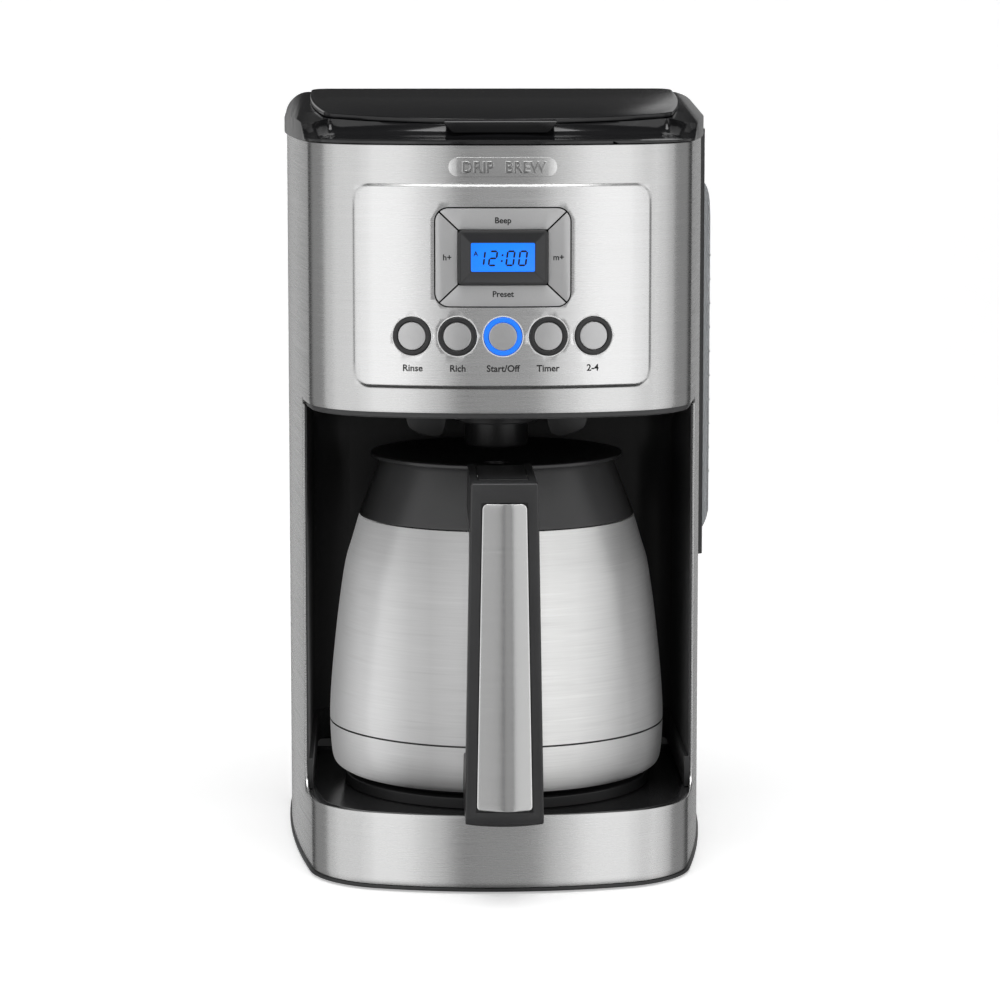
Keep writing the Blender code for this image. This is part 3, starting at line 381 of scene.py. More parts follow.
def deckFinish():
    # glossy where the front scoop and the lid's seat are, duller along the sides
    deck = Finish("deckBlack", grey(0.01, 0.011), 0.24, Specular_IOR_Level=0.16, Coat_Roughness=0.1)
    x, y, z = deck.axes()
    grain, patch = deck.noise(1100.0, 3.0, 0.6), deck.noise(38.0)
    deck.feed("Base Color", deck.blend(patch * 0.6 + grain * 0.4, grey(0.007, 0.008), grey(0.014, 0.015)))
    deck.feed("Roughness", 0.24 + (grain - 0.5) * 0.08)
    deck.feed("Coat Weight", abs(x).between(0.09, 0.085) * (y < 0.0))
    deck.relief(grain, 0.04, 0.00006)
    return deck.material


def keyFinish(name, tone, metallic, roughness, fine, coarse, share, dark, light, swing, depth):
    silver = Finish(name, grey(tone), roughness + 0.02, metallic)
    speck, haze = silver.noise(fine, 2.0, 0.6), silver.noise(coarse)
    colour = silver.blend(speck * share + haze * (1.0 - share), grey(dark, dark + 0.005), grey(light))
    silver.feed("Base Color", colour)
    silver.feed("Roughness", roughness + (speck - 0.5) * swing)
    silver.relief(speck, depth, 0.00005)
    return silver.material


def screenFinish():
    screen = Finish("blueScreen", (0.004, 0.09, 0.55), 0.22, Emission_Strength=0.92)
    x, y, z = screen.axes()
    edge = abs(x).between(0.0085, 0.0142)            # the backlight falls off towards both ends
    film = screen.noise(2600.0)
    glow = screen.blend(edge * 0.5 + (film - 0.5) * 0.12, (0.006, 0.205, 0.96), (0.003, 0.15, 0.86))
    screen.feed("Emission Color", glow)
    screen.feed("Roughness", 0.22 + (film - 0.5) * 0.08)
    return screen.material


def blueRingFinish():
    ring = Finish("blueRing", (0.004, 0.08, 0.5), 0.28, Emission_Strength=0.75)
    film = ring.noise(900.0)
    ring.feed("Emission Color", ring.blend(film, (0.004, 0.15, 0.8), (0.01, 0.235, 1.0)))
    ring.feed("Roughness", 0.24 + film * 0.1)
    return ring.material


def clearFinish():
    clear = Finish("clearWindow", (0.62, 0.64, 0.66), 0.12, Transmission_Weight=0.62, IOR=1.49)
    ripple, scuff = clear.noise((60.0, 60.0, 14.0)), clear.noise((900.0, 900.0, 240.0), 3.0, 0.6)
    clear.feed("Base Color", clear.blend(ripple * 0.6 + scuff * 0.3, (0.5, 0.52, 0.54), (0.74, 0.76, 0.78)))
    clear.feed("Roughness", 0.1 + scuff.between(0.45, 0.8) * 0.14)
    clear.relief(ripple, 0.1, 0.0004)
    return clear.material


def tankFinish():
    tank = Finish("smokeTank", (0.06, 0.065, 0.07), 0.26, Transmission_Weight=0.35, IOR=1.49)
    flow = tank.noise((30.0, 30.0, 60.0), 3.0)
    tank.feed("Base Color", tank.blend(flow, (0.045, 0.05, 0.055), (0.09, 0.095, 0.1)))
    tank.feed("Roughness", 0.22 + flow * 0.12)
    tank.relief(flow, 0.12, 0.0004)
    return tank.material


def goldFinish():
    # a fine woven screen: two sets of wires, dark where neither shows
    gold = Finish("goldMesh", (0.8, 0.56, 0.2), 0.34, 1.0)
    x, y, z = gold.axes()
    pitch = 2 * math.pi / 0.0009
    wires = (z * pitch).sine() * ((x + y) * pitch).sine()
    holes = abs(wires).between(0.1, 0.45)
    wear = gold.noise(120.0, 3.0, 0.6)
    wire = gold.blend(wear, (0.74, 0.5, 0.17), (0.88, 0.64, 0.27))
    gold.feed("Base Color", gold.blend(holes, wire, (0.1, 0.065, 0.02)))
    gold.feed("Roughness", 0.3 + wear * 0.16 + holes * 0.2)
    gold.relief(1.0 - holes, 0.35, 0.00015)
    return gold.material


def metalFinish(name, colour, roughness, speckle, strength, depth):
    metal = Finish(name, colour, roughness, 1.0)
    coarse, spots = metal.noise(speckle, 4.0, 0.65), metal.cells(speckle * 0.8)
    dark, light = tuple(c * 0.78 for c in colour), tuple(min(1.0, c * 1.12) for c in colour)
    metal.feed("Base Color", metal.blend(coarse * 0.7 + spots * 0.4, dark, light))
    metal.feed("Roughness", roughness + (coarse - 0.5) * 0.22)
    metal.relief(coarse + spots * 0.5, strength, depth)
    return metal.material


def boardFinish():
    board = Finish("circuitBoard", (0.02, 0.13, 0.05), 0.38)
    lanes = board.noise((90.0, 1.0, 520.0), 1.0, 0.4).between(0.52, 0.56)
    cross = board.noise((520.0, 1.0, 90.0), 1.0, 0.4).between(0.55, 0.59)
    pads = 1.0 - board.cells((230.0, 1.0, 230.0)).between(0.16, 0.2)
    green = board.blend(lanes * 0.6 + cross * 0.4, (0.01, 0.09, 0.035), (0.03, 0.21, 0.08))
    board.feed("Base Color", board.blend(pads, green, (0.62, 0.6, 0.5)))
    board.feed("Metallic", pads)
    board.feed("Roughness", 0.36 - pads * 0.08)
    board.relief(lanes + cross + pads, 0.3, 0.0001)
    return board.material


finishes = {
    "carafeSteel": carafeFinish(), "deckBlack": deckFinish(), "blueScreen": screenFinish(),
    "blueRing": blueRingFinish(), "clearWindow": clearFinish(), "smokeTank": tankFinish(),
    "goldMesh": goldFinish(), "circuitBoard": boardFinish(),
}
for mix, table in ((brushedFinish, brushed), (plasticFinish, plastics), (keyFinish, keyMetals),
                   (metalFinish, metals)):
    for name, values in table.items():
        finishes[name] = mix(name, *values)
print("finishes mixed:", len(finishes))


# ---- shapes ----

def newPiece(mesh):
    piece = bpy.data.objects.new("piece", mesh)
    bpy.context.scene.collection.objects.link(piece)
    return piece


def solid(points, faces):
    mesh = bpy.data.meshes.new("piece")
    mesh.from_pydata([tuple(p) for p in points], [], faces)
    shape = bmesh.new()
    shape.from_mesh(mesh)
    bmesh.ops.recalc_face_normals(shape, faces=shape.faces)
    shape.to_mesh(mesh)
    shape.free()
    return newPiece(mesh)


def loft(sections):
    # closes the first and last of several outlines and joins each to the next
    size, points = len(sections[0]), [point for section in sections for point in section]
    faces = [tuple(range(size)), tuple(range(len(points) - size, len(points)))]
    for row in range(len(sections) - 1):
        for i in range(size):
            a, b = row * size + i, row * size + (i + 1) % size
            faces.append((a, b, size + b, size + a))
    return solid(points, faces)


def extrude(outline, axis, low, high):
    spin = {"X": lambda a, b, h: (h, a, b), "Y": lambda a, b, h: (a, h, b),
            "Z": lambda a, b, h: (a, b, h)}[axis]
    return loft([[spin(a, b, level) for a, b in outline] for level in (low, high)])


def box(low, high):
    outline = [(low[0], low[1]), (high[0], low[1]), (high[0], high[1]), (low[0], high[1])]
    return extrude(outline, "Z", low[2], high[2])


def lathe(profile, centre=(0.0, 0.0), steps=96):
    # turns a closed (radius, height) profile about an upright line
    points, rings = [], []
    for radius, z in profile:
        if radius < 1e-9:
            rings.append([len(points)] * steps)
            points.append((centre[0], centre[1], z))
            continue
        rings.append([len(points) + i for i in range(steps)])
        for i in range(steps):
            angle = 2 * math.pi * i / steps
            points.append((centre[0] + radius * math.cos(angle), centre[1] + radius * math.sin(angle), z))
    faces = []
    for first, second in zip(rings, rings[1:] + rings[:1]):
        if first[0] == first[1] and second[0] == second[1]:
            continue
        for i in range(steps):
            j = (i + 1) % steps
            faces.append(tuple(dict.fromkeys([first[i], first[j], second[j], second[i]])))
    return solid(points, faces)


def aroundCarafe(profile, steps=96):
    return lathe(profile, (0.0, carafeY), steps)


def pipe(inner, outer, low, high):
    return [(inner, low), (outer, low), (outer, high), (inner, high)]


def settle(piece):
    graph = bpy.context.evaluated_depsgraph_get()
    mesh = bpy.data.meshes.new_from_object(piece.evaluated_get(graph))
    piece.modifiers.clear()
    piece.data = mesh
    return piece


def combine(operation, target, tools):
    for tool in tools:
        change = target.modifiers.new("combine", "BOOLEAN")
        change.operation = operation
        change.solver = "EXACT"
        change.object = tool
        settle(target)
        bpy.data.objects.remove(tool, do_unlink=True)
    return target


def cut(target, *tools):
    return combine("DIFFERENCE", target, tools)


def join(target, *tools):
    return combine("UNION", target, tools)


def keepCommon(target, *tools):
    return combine("INTERSECT", target, tools)


def turned(piece, matrix):
    piece.data.transform(matrix)
    return piece


def shifted(piece, *step):
    return turned(piece, Matrix.Translation(step))


def together(pieces):
    # several meshes in one object, with nothing joined up
    shape = bmesh.new()
    for piece in pieces:
        shape.from_mesh(piece.data)
    mesh = bpy.data.meshes.new("piece")
    shape.to_mesh(mesh)
    shape.free()
    for piece in pieces:
        bpy.data.objects.remove(piece, do_unlink=True)
    return newPiece(mesh)


def tidyMesh(piece, near=2e-6):
    shape = bmesh.new()
    shape.from_mesh(piece.data)
    bmesh.ops.remove_doubles(shape, verts=shape.verts, dist=near)
    bmesh.ops.dissolve_degenerate(shape, edges=shape.edges, dist=near)
    shape.to_mesh(piece.data)
    shape.free()
    return piece


def soften(piece, width, segments=2, angle=50.0):
    tidyMesh(piece, 1e-5)
    bevel = piece.modifiers.new("soften", "BEVEL")
    bevel.width = width
    bevel.segments = segments
    bevel.limit_method = "ANGLE"
    bevel.angle_limit = math.radians(angle)
    bevel.harden_normals = False
    return settle(piece)


def smooth(piece, angle=32.0):
    piece.data.shade_smooth()
    piece.data.set_sharp_from_angle(angle=math.radians(angle))
    return piece


slotLooks = {
    "brushed_steel": ("wrapSteel", "carafeSteel", "badgeSteel", "letterSteel", "inlaySteel", "brightLip"),
    "gloss_plastic": ("deckBlack", "glossBlack", "bezelBlack"), "clear_plastic": ("clearWindow", "levelMark"),
    "silver_key": ("silverKey", "buttonCap"), "blue_screen": ("blueScreen",), "blue_ring": ("blueRing",),
    "gold_mesh": ("goldMesh",), "silicone": ("silicone",), "spring_steel": ("springSteel",),
    "cast_aluminium": ("castAluminium",), "silicone_hose": ("hose",),
}
slotOf = {look: slot for slot, looks in slotLooks.items() for look in looks}


def place(piece, name, body, look, *nodes, slot=None):
    slot = slot or slotOf.get(look, "black_plastic")
    piece.name = name
    piece.data.name = name
    piece.data.materials.clear()
    piece.data.materials.append(finishes[look])
    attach(piece, body)
    if nodes:
        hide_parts(*nodes)
    return piece


def arc(centre, radius, start, end, steps):
    angles = [math.radians(start + (end - start) * i / steps) for i in range(steps + 1)]
    return [(centre[0] + radius * math.cos(a), centre[1] + radius * math.sin(a)) for a in angles]


def roundedRect(width, height, corner, centre=(0.0, 0.0), steps=8):
    points = []
    for k, (sx, sz) in enumerate(((1, 1), (-1, 1), (-1, -1), (1, -1))):
        middle = (centre[0] + sx * (width / 2 - corner), centre[1] + sz * (height / 2 - corner))
        points += arc(middle, corner, 90 * k, 90 * k + 90, steps)
    return points


def sidePrism(profile, half):
    # a (depth, height) profile drawn out to both sides
    return extrude([(frontY + depth, z) for depth, z in profile], "X", -half, half)


def frontPrism(outline, start=-0.02, deep=0.045):
    return extrude(outline, "Y", frontY + start, frontY + deep)


def mirrored(points):
    return [(-x, y) for x, y in points[::-1]]


def flowing(points, parts):
    # a smooth curve through the points
    drawn = []
    for i in range(len(points) - 1):
        before, start = Vector(points[max(i - 1, 0)]), Vector(points[i])
        end, after = Vector(points[i + 1]), Vector(points[min(i + 2, len(points) - 1)])
        for k in range(parts):
            t = k / parts
            bend = (2 * before - 5 * start + 4 * end - after) * t * t
            twist = (3 * start - before - 3 * end + after) * t * t * t
            drawn.append(tuple(0.5 * ((2 * start) + (end - before) * t + bend + twist)))
    return drawn + [tuple(points[-1])]


def rounded(profile, corner, steps=4):
    # rounds every corner of a closed (radius, height) profile that turns sharply
    made, count = [], len(profile)
    for i in range(count):
        before, here, after = (Vector(profile[(i + k) % count]) for k in (-1, 0, 1))
        arm, leg = before - here, after - here
        reach = min(corner, arm.length * 0.45, leg.length * 0.45)
        if here.x < 1e-9 or min(arm.length, leg.length) < 1e-7 or abs(math.pi - arm.angle(leg)) < 0.35:
            made.append(tuple(here))
            continue
        start, end = here + arm.normalized() * reach, here + leg.normalized() * reach
        for k in range(steps + 1):
            t = k / steps
            made.append(tuple((1 - t) ** 2 * start + 2 * t * (1 - t) * here + t * t * end))
    return made


# ---- plan outlines: a wide front arc, a corner arc and a long side arc ----

wrap = {
    "front": 0.1893, "frontTurn": math.radians(17.45), "corner": 0.0441, "cornerTurn": math.radians(79.85),
    "side": 0.806, "start": 0.0,
}
lidPlan = {
    "front": 0.118, "frontTurn": math.radians(38.6), "corner": 0.018, "cornerTurn": math.radians(80.0),
    "side": 0.516, "start": 0.0415,
}


def along(angle):
    return Vector((math.sin(angle), -math.cos(angle)))


def planArcs(plan):
    frontCentre = Vector((0.0, frontY + plan["start"] + plan["front"]))
    cornerCentre = frontCentre + (plan["front"] - plan["corner"]) * along(plan["frontTurn"])
    sideCentre = cornerCentre - (plan["side"] - plan["corner"]) * along(plan["cornerTurn"])
    return frontCentre, cornerCentre, sideCentre


def planHalf(plan, inset, lastDepth, steps=(20, 24, 14)):
    centres = planArcs(plan)
    reach = (centres[2].y - frontY - lastDepth) / (plan["side"] - inset)
    turns = (0.0, plan["frontTurn"], plan["cornerTurn"], math.acos(max(-1.0, min(1.0, reach))))
    points = []
    for k, size in enumerate((plan["front"], plan["corner"], plan["side"])):
        for i in range(1, steps[k] + 1):
            turn = turns[k] + (turns[k + 1] - turns[k]) * i / steps[k]
            points.append(tuple(centres[k] + (size - inset) * along(turn)))
    return points


def wrapOutline(inset, lastDepth):
    right = planHalf(wrap, inset, lastDepth)
    return mirrored(right) + [(0.0, frontY + inset)] + right


def closedOutline(inset, rearDepth, corner=0.018):
    front = wrapOutline(inset, rearDepth - corner)
    right = arc((front[-1][0] - corner, frontY + rearDepth - corner), corner, 0, 90, 10)[1:]
    return front + right + mirrored(right)


def lidOutline(inset, rearDepth=0.196):
    corner = 0.008
    right = planHalf(lidPlan, inset, planArcs(lidPlan)[2].y - frontY, (26, 14, 8))
    right += arc((right[-1][0] - corner, frontY + rearDepth - inset - corner), corner, 0, 90, 8)
    return mirrored(right) + [(0.0, frontY + lidPlan["start"] + inset)] + right


def band(outerInset, innerInset, lastDepth, low, high):
    outside, inside = wrapOutline(outerInset, lastDepth), wrapOutline(innerInset, lastDepth)
    return extrude(outside + inside[::-1], "Z", low, high)


panelSize = {
    "width": 0.1337, "low": 0.2284, "high": 0.3201, "corner": 0.008, "raise": 0.0009, "slope": 0.0023,
}
controls = {
    "pitch": 0.02, "buttonZ": 0.2523, "ringOuter": 0.0084, "ringInner": 0.0065, "capRadius": 0.0062,
    "keypadZ": 0.2873, "keypad": (0.0598, 0.0434), "bezel": (0.0396, 0.0241), "screen": (0.0284, 0.0128),
}


def keypadRect(size, grown, corner, steps=8):
    return roundedRect(size[0] + grown, size[1] + grown, corner, (0.0, controls["keypadZ"]), steps)


def panelPlace(x, z):
    # stands a piece built facing -y at the origin square on the raised panel
    radius = wrap["front"] + panelSize["raise"]
    angle = math.asin(x / wrap["front"])
    here = Vector((radius * math.sin(angle), frontY + wrap["front"] - radius * math.cos(angle), z))
    return Matrix.Translation(here) @ Matrix.Rotation(angle, 4, "Z")


def facingFront(profile, steps):
    return turned(lathe(profile, (0.0, 0.0), steps), Matrix.Rotation(-math.pi / 2, 4, "X"))


def ontoPanel(piece, lift):
    # bends a flat piece, drawn in x and z, onto the curved panel; its own y is the height
    radius = wrap["front"] + panelSize["raise"] + lift
    for vertex in piece.data.vertices:
        x, y, z = vertex.co
        reach = radius - y
        vertex.co = (x, frontY + wrap["front"] - math.sqrt(reach * reach - x * x), z)
    return piece


# ---- geometry nodes ----

class GrowTree(Nodes):               # one node group, with its inputs by name
    def __init__(self, name, numbers, needsShape=False):
        self.tree = bpy.data.node_groups.new(name, "GeometryNodeTree")
        face = self.tree.interface
        face.new_socket("Geometry", in_out="OUTPUT", socket_type="NodeSocketGeometry")
        if needsShape:
            face.new_socket("Geometry", in_out="INPUT", socket_type="NodeSocketGeometry")
        self.identifiers = {}
        for title, value in numbers.items():
            kind = {int: "NodeSocketInt", float: "NodeSocketFloat", tuple: "NodeSocketVector"}[type(value)]
            item = face.new_socket(title, in_out="INPUT", socket_type=kind)
            item.default_value = value
            self.identifiers[title] = item.identifier
        look = face.new_socket("Finish", in_out="INPUT", socket_type="NodeSocketMaterial")
        self.identifiers["Finish"] = look.identifier
        self.given = self.tree.nodes.new("NodeGroupInput").outputs
        self.end = self.tree.nodes.new("NodeGroupOutput")

    def grown(self, kind, sockets=None, **settings):
        return self.node("GeometryNode" + kind, sockets, **settings).outputs[0]

    def vector(self, x, y, z):
        return self.node("ShaderNodeCombineXYZ", {"X": x, "Y": y, "Z": z}).outputs[0]

    def turn(self, euler):
        return self.node("FunctionNodeEulerToRotation", {"Euler": euler}).outputs[0]

    def wire(self, curve, sides, radius):
        ring = self.grown("CurvePrimitiveCircle", {"Resolution": sides, "Radius": radius}, mode="RADIUS")
        return self.grown("CurveToMesh", {"Curve": curve, "Profile Curve": ring, "Fill Caps": True})

    def close(self, geometry):
        whole = self.grown("RealizeInstances", {"Geometry": geometry})
        looked = self.grown("SetMaterial", {"Geometry": whole, "Material": self.given["Finish"]})
        self.tree.links.new(looked, self.end.inputs[0])
        return self


def grow(tree, look, values, start=None):
    piece = start or newPiece(bpy.data.meshes.new("piece"))
    change = piece.modifiers.new("grow", "NODES")
    change.node_group = tree.tree
    for title, value in values.items():
        change[tree.identifiers[title]] = value
    change[tree.identifiers["Finish"]] = finishes[look]
    piece.update_tag()
    bpy.context.view_layer.update()
    settle(piece)
    return smooth(piece, 40.0)


def rowTree():
    # a straight row of bars
    tree = GrowTree("barRow", {"Count": 7, "First": (0.0, 0.0, 0.0), "Step": (0.0, 0.0, 0.01),
                               "Size": (0.04, 0.002, 0.002), "Tilt": (0.0, 0.0, 0.0)})
    given = tree.given
    line = tree.grown("MeshLine", {"Count": given["Count"], "Start Location": given["First"],
                                   "Offset": given["Step"]}, mode="OFFSET")
    bar = tree.grown("MeshCube", {"Size": given["Size"]})
    turn = tree.turn(given["Tilt"])
    return tree.close(tree.grown("InstanceOnPoints", {"Points": line, "Instance": bar, "Rotation": turn}))


def ringTree():
    # pegs stood round a circle, leaning by Lean, each turned to face out
    tree = GrowTree("pegRing", {"Count": 24, "Radius": 0.05, "Centre": (0.0, 0.0, 0.0), "Thick": 0.002,
                                "Wide": 0.002, "Tall": 0.02, "Lean": 0.0, "Sides": 6})
    given = tree.given
    circle = tree.grown("MeshCircle", {"Vertices": given["Count"], "Radius": given["Radius"]})
    spot = tree.grown("SetPosition", {"Geometry": circle, "Offset": given["Centre"]})
    step = 2 * math.pi / Signal(tree.tree, given["Count"])
    heading = Signal(tree.tree, tree.grown("InputIndex")) * step
    turn = tree.turn(tree.vector(0.0, given["Lean"], heading))
    peg = tree.grown("MeshCylinder", {"Vertices": given["Sides"], "Radius": 0.5, "Depth": 1.0})
    size = tree.vector(given["Thick"], given["Wide"], given["Tall"])
    return tree.close(tree.grown("InstanceOnPoints", {"Points": spot, "Instance": peg, "Rotation": turn,
                                                      "Scale": size}))


def coilTree():
    # a wound spring
    tree = GrowTree("coil", {"Turns": 4.0, "Radius": 0.0058, "Height": 0.015, "Wire": 0.0005,
                             "Base": (0.0, 0.0, 0.0)})
    given = tree.given
    spiral = tree.grown("CurveSpiral", {
        "Resolution": 24, "Rotations": given["Turns"], "Start Radius": given["Radius"],
        "End Radius": given["Radius"], "Height": given["Height"]})
    wire = tree.wire(spiral, 10, given["Wire"])
    return tree.close(tree.grown("Transform", {"Geometry": wire, "Translation": given["Base"]}))


def hoseTree():
    # a round hose along a line of points, its bends drawn smooth
    tree = GrowTree("hose", {"Radius": 0.004, "Sides": 20, "Pieces": 60}, needsShape=True)
    given = tree.given
    curve = tree.grown("MeshToCurve", {"Mesh": given["Geometry"]})
    kind = tree.grown("CurveSplineType", {"Curve": curve}, spline_type="CATMULL_ROM")
    finer = tree.grown("ResampleCurve", {"Curve": kind, "Count": given["Pieces"]})
    return tree.close(tree.wire(finer, given["Sides"], given["Radius"]))


barRow, pegRing, coil, hose = rowTree(), ringTree(), coilTree(), hoseTree()
print("node trees built")


# ---- the steel wrap ----

def raisedBy(x, z):
    # how far the front panel stands out at this point, with a soft slope at its edge
    corner, low, high = panelSize["corner"], panelSize["low"], panelSize["high"]
    dx = abs(x) - (panelSize["width"] / 2 - corner)
    dz = abs(z - (high + low) / 2) - ((high - low) / 2 - corner)
    away = math.hypot(max(dx, 0.0), max(dz, 0.0)) + min(max(dx, dz), 0.0) - corner
    t = max(0.0, min(1.0, -away / panelSize["slope"]))
    return panelSize["raise"] * t * t * (3 - 2 * t)


def span(low, high, step):
    count = max(1, round((high - low) / step))
    return [low + (high - low) * i / count for i in range(count)]


wrapSheet = {
    "thick": 0.0008, "low": 0.0028, "high": 0.3368, "lastDepth": 0.192, "curl": 0.0006,
    # rows and columns stand close together where the panel's edge crosses: (from, to, step)
    "rows": ((0.0058, 0.227, 0.007), (0.227, 0.2325, 0.0004), (0.2325, 0.316, 0.004), (0.316, 0.3215, 0.0004),
             (0.3215, 0.334, 0.004)),
    "cornerTurns": ((17.45, 23.5, 1.0), (23.5, 36.0, 0.45), (36.0, 79.85, 1.9)),
    "bayLow": 0.0356, "bayHigh": 0.218, "bayEdge": 0.0625,
}


def wrapColumns():
    # stations round the plan outline
    frontCentre, cornerCentre, sideCentre = planArcs(wrap)
    stations = [(frontCentre, wrap["front"], a) for a in span(0.0, wrap["frontTurn"], math.radians(0.7))]
    for turns in wrapSheet["cornerTurns"]:
        stations += [(cornerCentre, wrap["corner"], a) for a in span(*map(math.radians, turns))]
    last = math.acos((sideCentre.y - frontY - wrapSheet["lastDepth"]) / wrap["side"])
    sideTurns = span(wrap["cornerTurn"], last, math.radians(0.5)) + [last]
    return stations + [(sideCentre, wrap["side"], a) for a in sideTurns]


def sheetFaces(across, tall, back):
    # quads of a front grid and a back grid, and the strips that close their four edges
    faces = []
    for i in range(across - 1):
        for k in range(tall - 1):
            a = i * tall + k
            faces.append((a, a + tall, a + tall + 1, a + 1))
            faces.append((back + a, back + a + 1, back + a + tall + 1, back + a + tall))
        for k in (0, tall - 1):
            a = i * tall + k
            faces.append((a, back + a, back + a + tall, a + tall))
    for start in (0, (across - 1) * tall):
        for a in range(start, start + tall - 1):
            faces.append((a, a + 1, back + a + 1, back + a))
    return faces


def steelWrap():
    sheet, curl = wrapSheet, wrapSheet["curl"]
    rows = [(sheet["low"], 0.0)] + [(z, 0.0) for part in sheet["rows"] for z in span(*part)]
    for a in (math.radians(18 * k) for k in range(6)):           # the top edge is rolled inwards
        rows.append((sheet["high"] - curl * (1 - math.sin(a)), curl * (1 - math.cos(a))))
    stations = wrapColumns()
    columns = [(*s, -1) for s in stations[:0:-1]] + [(*s, 1) for s in stations]

    def at(column, z, inset):
        centre, size, angle, side = column
        bare = centre + size * along(angle)
        point = centre + (size + raisedBy(bare.x, z) - inset) * along(angle)
        return (side * point.x, point.y, z)

    points = [at(c, z, inset) for c in columns for z, inset in rows]
    points += [at(c, z, sheet["thick"]) for c in columns for z, inset in rows]
    wrapPiece = solid(points, sheetFaces(len(columns), len(rows), len(rows) * len(columns)))

    cutters = [frontPrism(keypadRect(controls["keypad"], 0.001, 0.0065), deep=0.02)]
    for k in range(-2, 3):
        hole = facingFront(pipe(0.0, controls["ringOuter"] + gap, -0.01, 0.01), 48)
        cutters.append(turned(hole, panelPlace(k * controls["pitch"], controls["buttonZ"])))
    edge, low, high, corner, nick = sheet["bayEdge"], sheet["bayLow"], sheet["bayHigh"], 0.011, 0.003
    bay = [(-0.02, low)] + arc((edge - corner, low + corner), corner, -90, 0, 12)
    bay += arc((edge - nick, high - nick), nick, 0, 90, 6) + [(-0.02, high)]
    cutters.append(sidePrism(bay, 0.12))
    cut(wrapPiece, together(cutters))
    soften(wrapPiece, 0.00022, 2, 62.0)
    place(smooth(wrapPiece, 34.0), "steelWrap", "machine", "wrapSteel", "steel_shroud")


steelWrap()
print("steel wrap shaped")


# ---- top deck and lid ----

deck = {
    "overhang": 0.0012, "low": 0.3371, "frontZ": 0.3416, "rearZ": 0.3542, "slopeEnd": 0.198,
    "edge": 0.0022, "shoulder": 0.0105, "scoopFloor": 0.3382,
    "scoopEdge": [(0.0, 0.0412), (0.013, 0.0419), (0.026, 0.0441), (0.038, 0.0475), (0.05, 0.0523),
                  (0.061, 0.0582), (0.069, 0.0634), (0.0745, 0.0674), (0.0775, 0.0684), (0.08, 0.065),
                  (0.0825, 0.058), (0.085, 0.0522), (0.0885, 0.0478), (0.094, 0.0448), (0.105, 0.043)],
    "scoopRise": [(-0.013, 0.0), (-0.008, 0.0005), (-0.0042, 0.0019), (-0.0016, 0.0041), (0.0, 0.0075)],
    "hingeDepth": 0.203, "hingeZ": 0.3505, "hingeX": 0.06, "pin": 0.0015,
}
deckSlope = (deck["rearZ"] - deck["frontZ"]) / deck["slopeEnd"]


def deckHeight(depth):
    return deck["frontZ"] + deckSlope * min(depth, deck["slopeEnd"])


def scoopCutter():
    half = flowing(deck["scoopEdge"], 4)
    rise, sections = flowing(deck["scoopRise"], 4), []
    for x, depth in mirrored(half[1:]) + half:
        line = [(-0.015, 0.0)] + [(depth + d, z) for d, z in rise] + [(depth + 0.0004, 0.04), (-0.015, 0.04)]
        sections.append([(x, frontY + d, deck["scoopFloor"] + z) for d, z in line])
    return loft(sections)


def hingeBore(x, reach):
    centre = (frontY + deck["hingeDepth"], deck["hingeZ"])
    return extrude(arc(centre, deck["pin"] + gap, 0, 345, 23), "X", x - reach, x + reach)


def deckShoulders():
    # a long prism with round upper edges that climbs with the deck's slope
    half, corner = 0.1007, deck["shoulder"]
    right = [(half, -0.03)] + arc((half - corner, -corner), corner, 0, 90, 14)
    return loft([[(x, frontY + depth, deckHeight(depth) + h) for x, h in right + mirrored(right)]
                 for depth in (-0.01, deck["slopeEnd"], 0.25)])


def topDeck():
    body = extrude(closedOutline(-deck["overhang"], 0.2285), "Z", deck["low"], 0.36)
    top = [(-0.01, 0.3), (0.25, 0.3), (0.25, deck["rearZ"]), (deck["slopeEnd"], deck["rearZ"]),
           (-0.01, deckHeight(-0.01))]
    keepCommon(body, sidePrism(top, 0.12), deckShoulders())
    soften(body, deck["edge"], 4, 40.0)
    join(body, extrude(closedOutline(0.004, 0.22), "Z", 0.326, 0.339))
    opening = extrude(roundedRect(0.149, 0.155, 0.018, (0.0, frontY + 0.117), 10), "Z", 0.3, 0.37)
    keepCommon(opening, extrude(lidOutline(0.0024), "Z", 0.29, 0.38))
    cut(body, opening, scoopCutter(), aroundCarafe(pipe(0.0, 0.0664, 0.3, 0.3343), 64))
    for x in (-deck["hingeX"], deck["hingeX"]):
        notch = box((x - 0.0045, frontY + 0.188, 0.344), (x + 0.0045, frontY + 0.209, 0.37))
        cut(body, notch, hingeBore(x, 0.0085))
    soften(body, 0.0003, 2, 48.0)
    place(smooth(body, 30.0), "topDeck", "machine", "deckBlack", "top_deck")


grip = {
    "halfWide": 0.0254, "radius": (0.0023, 0.0022),
    "tongue": [(0.006, 0.0008), (-0.0015, 0.0006), (-0.003, -0.0001), (-0.0036, -0.0012), (-0.004, -0.0035),
               (-0.0053, -0.0035)],
    "edge": [(-0.0254, 0.01), (-0.0254, 0.0012), (-0.024, -0.0008), (-0.0222, -0.0028), (-0.0206, -0.0038),
             (-0.019, -0.004)],
}


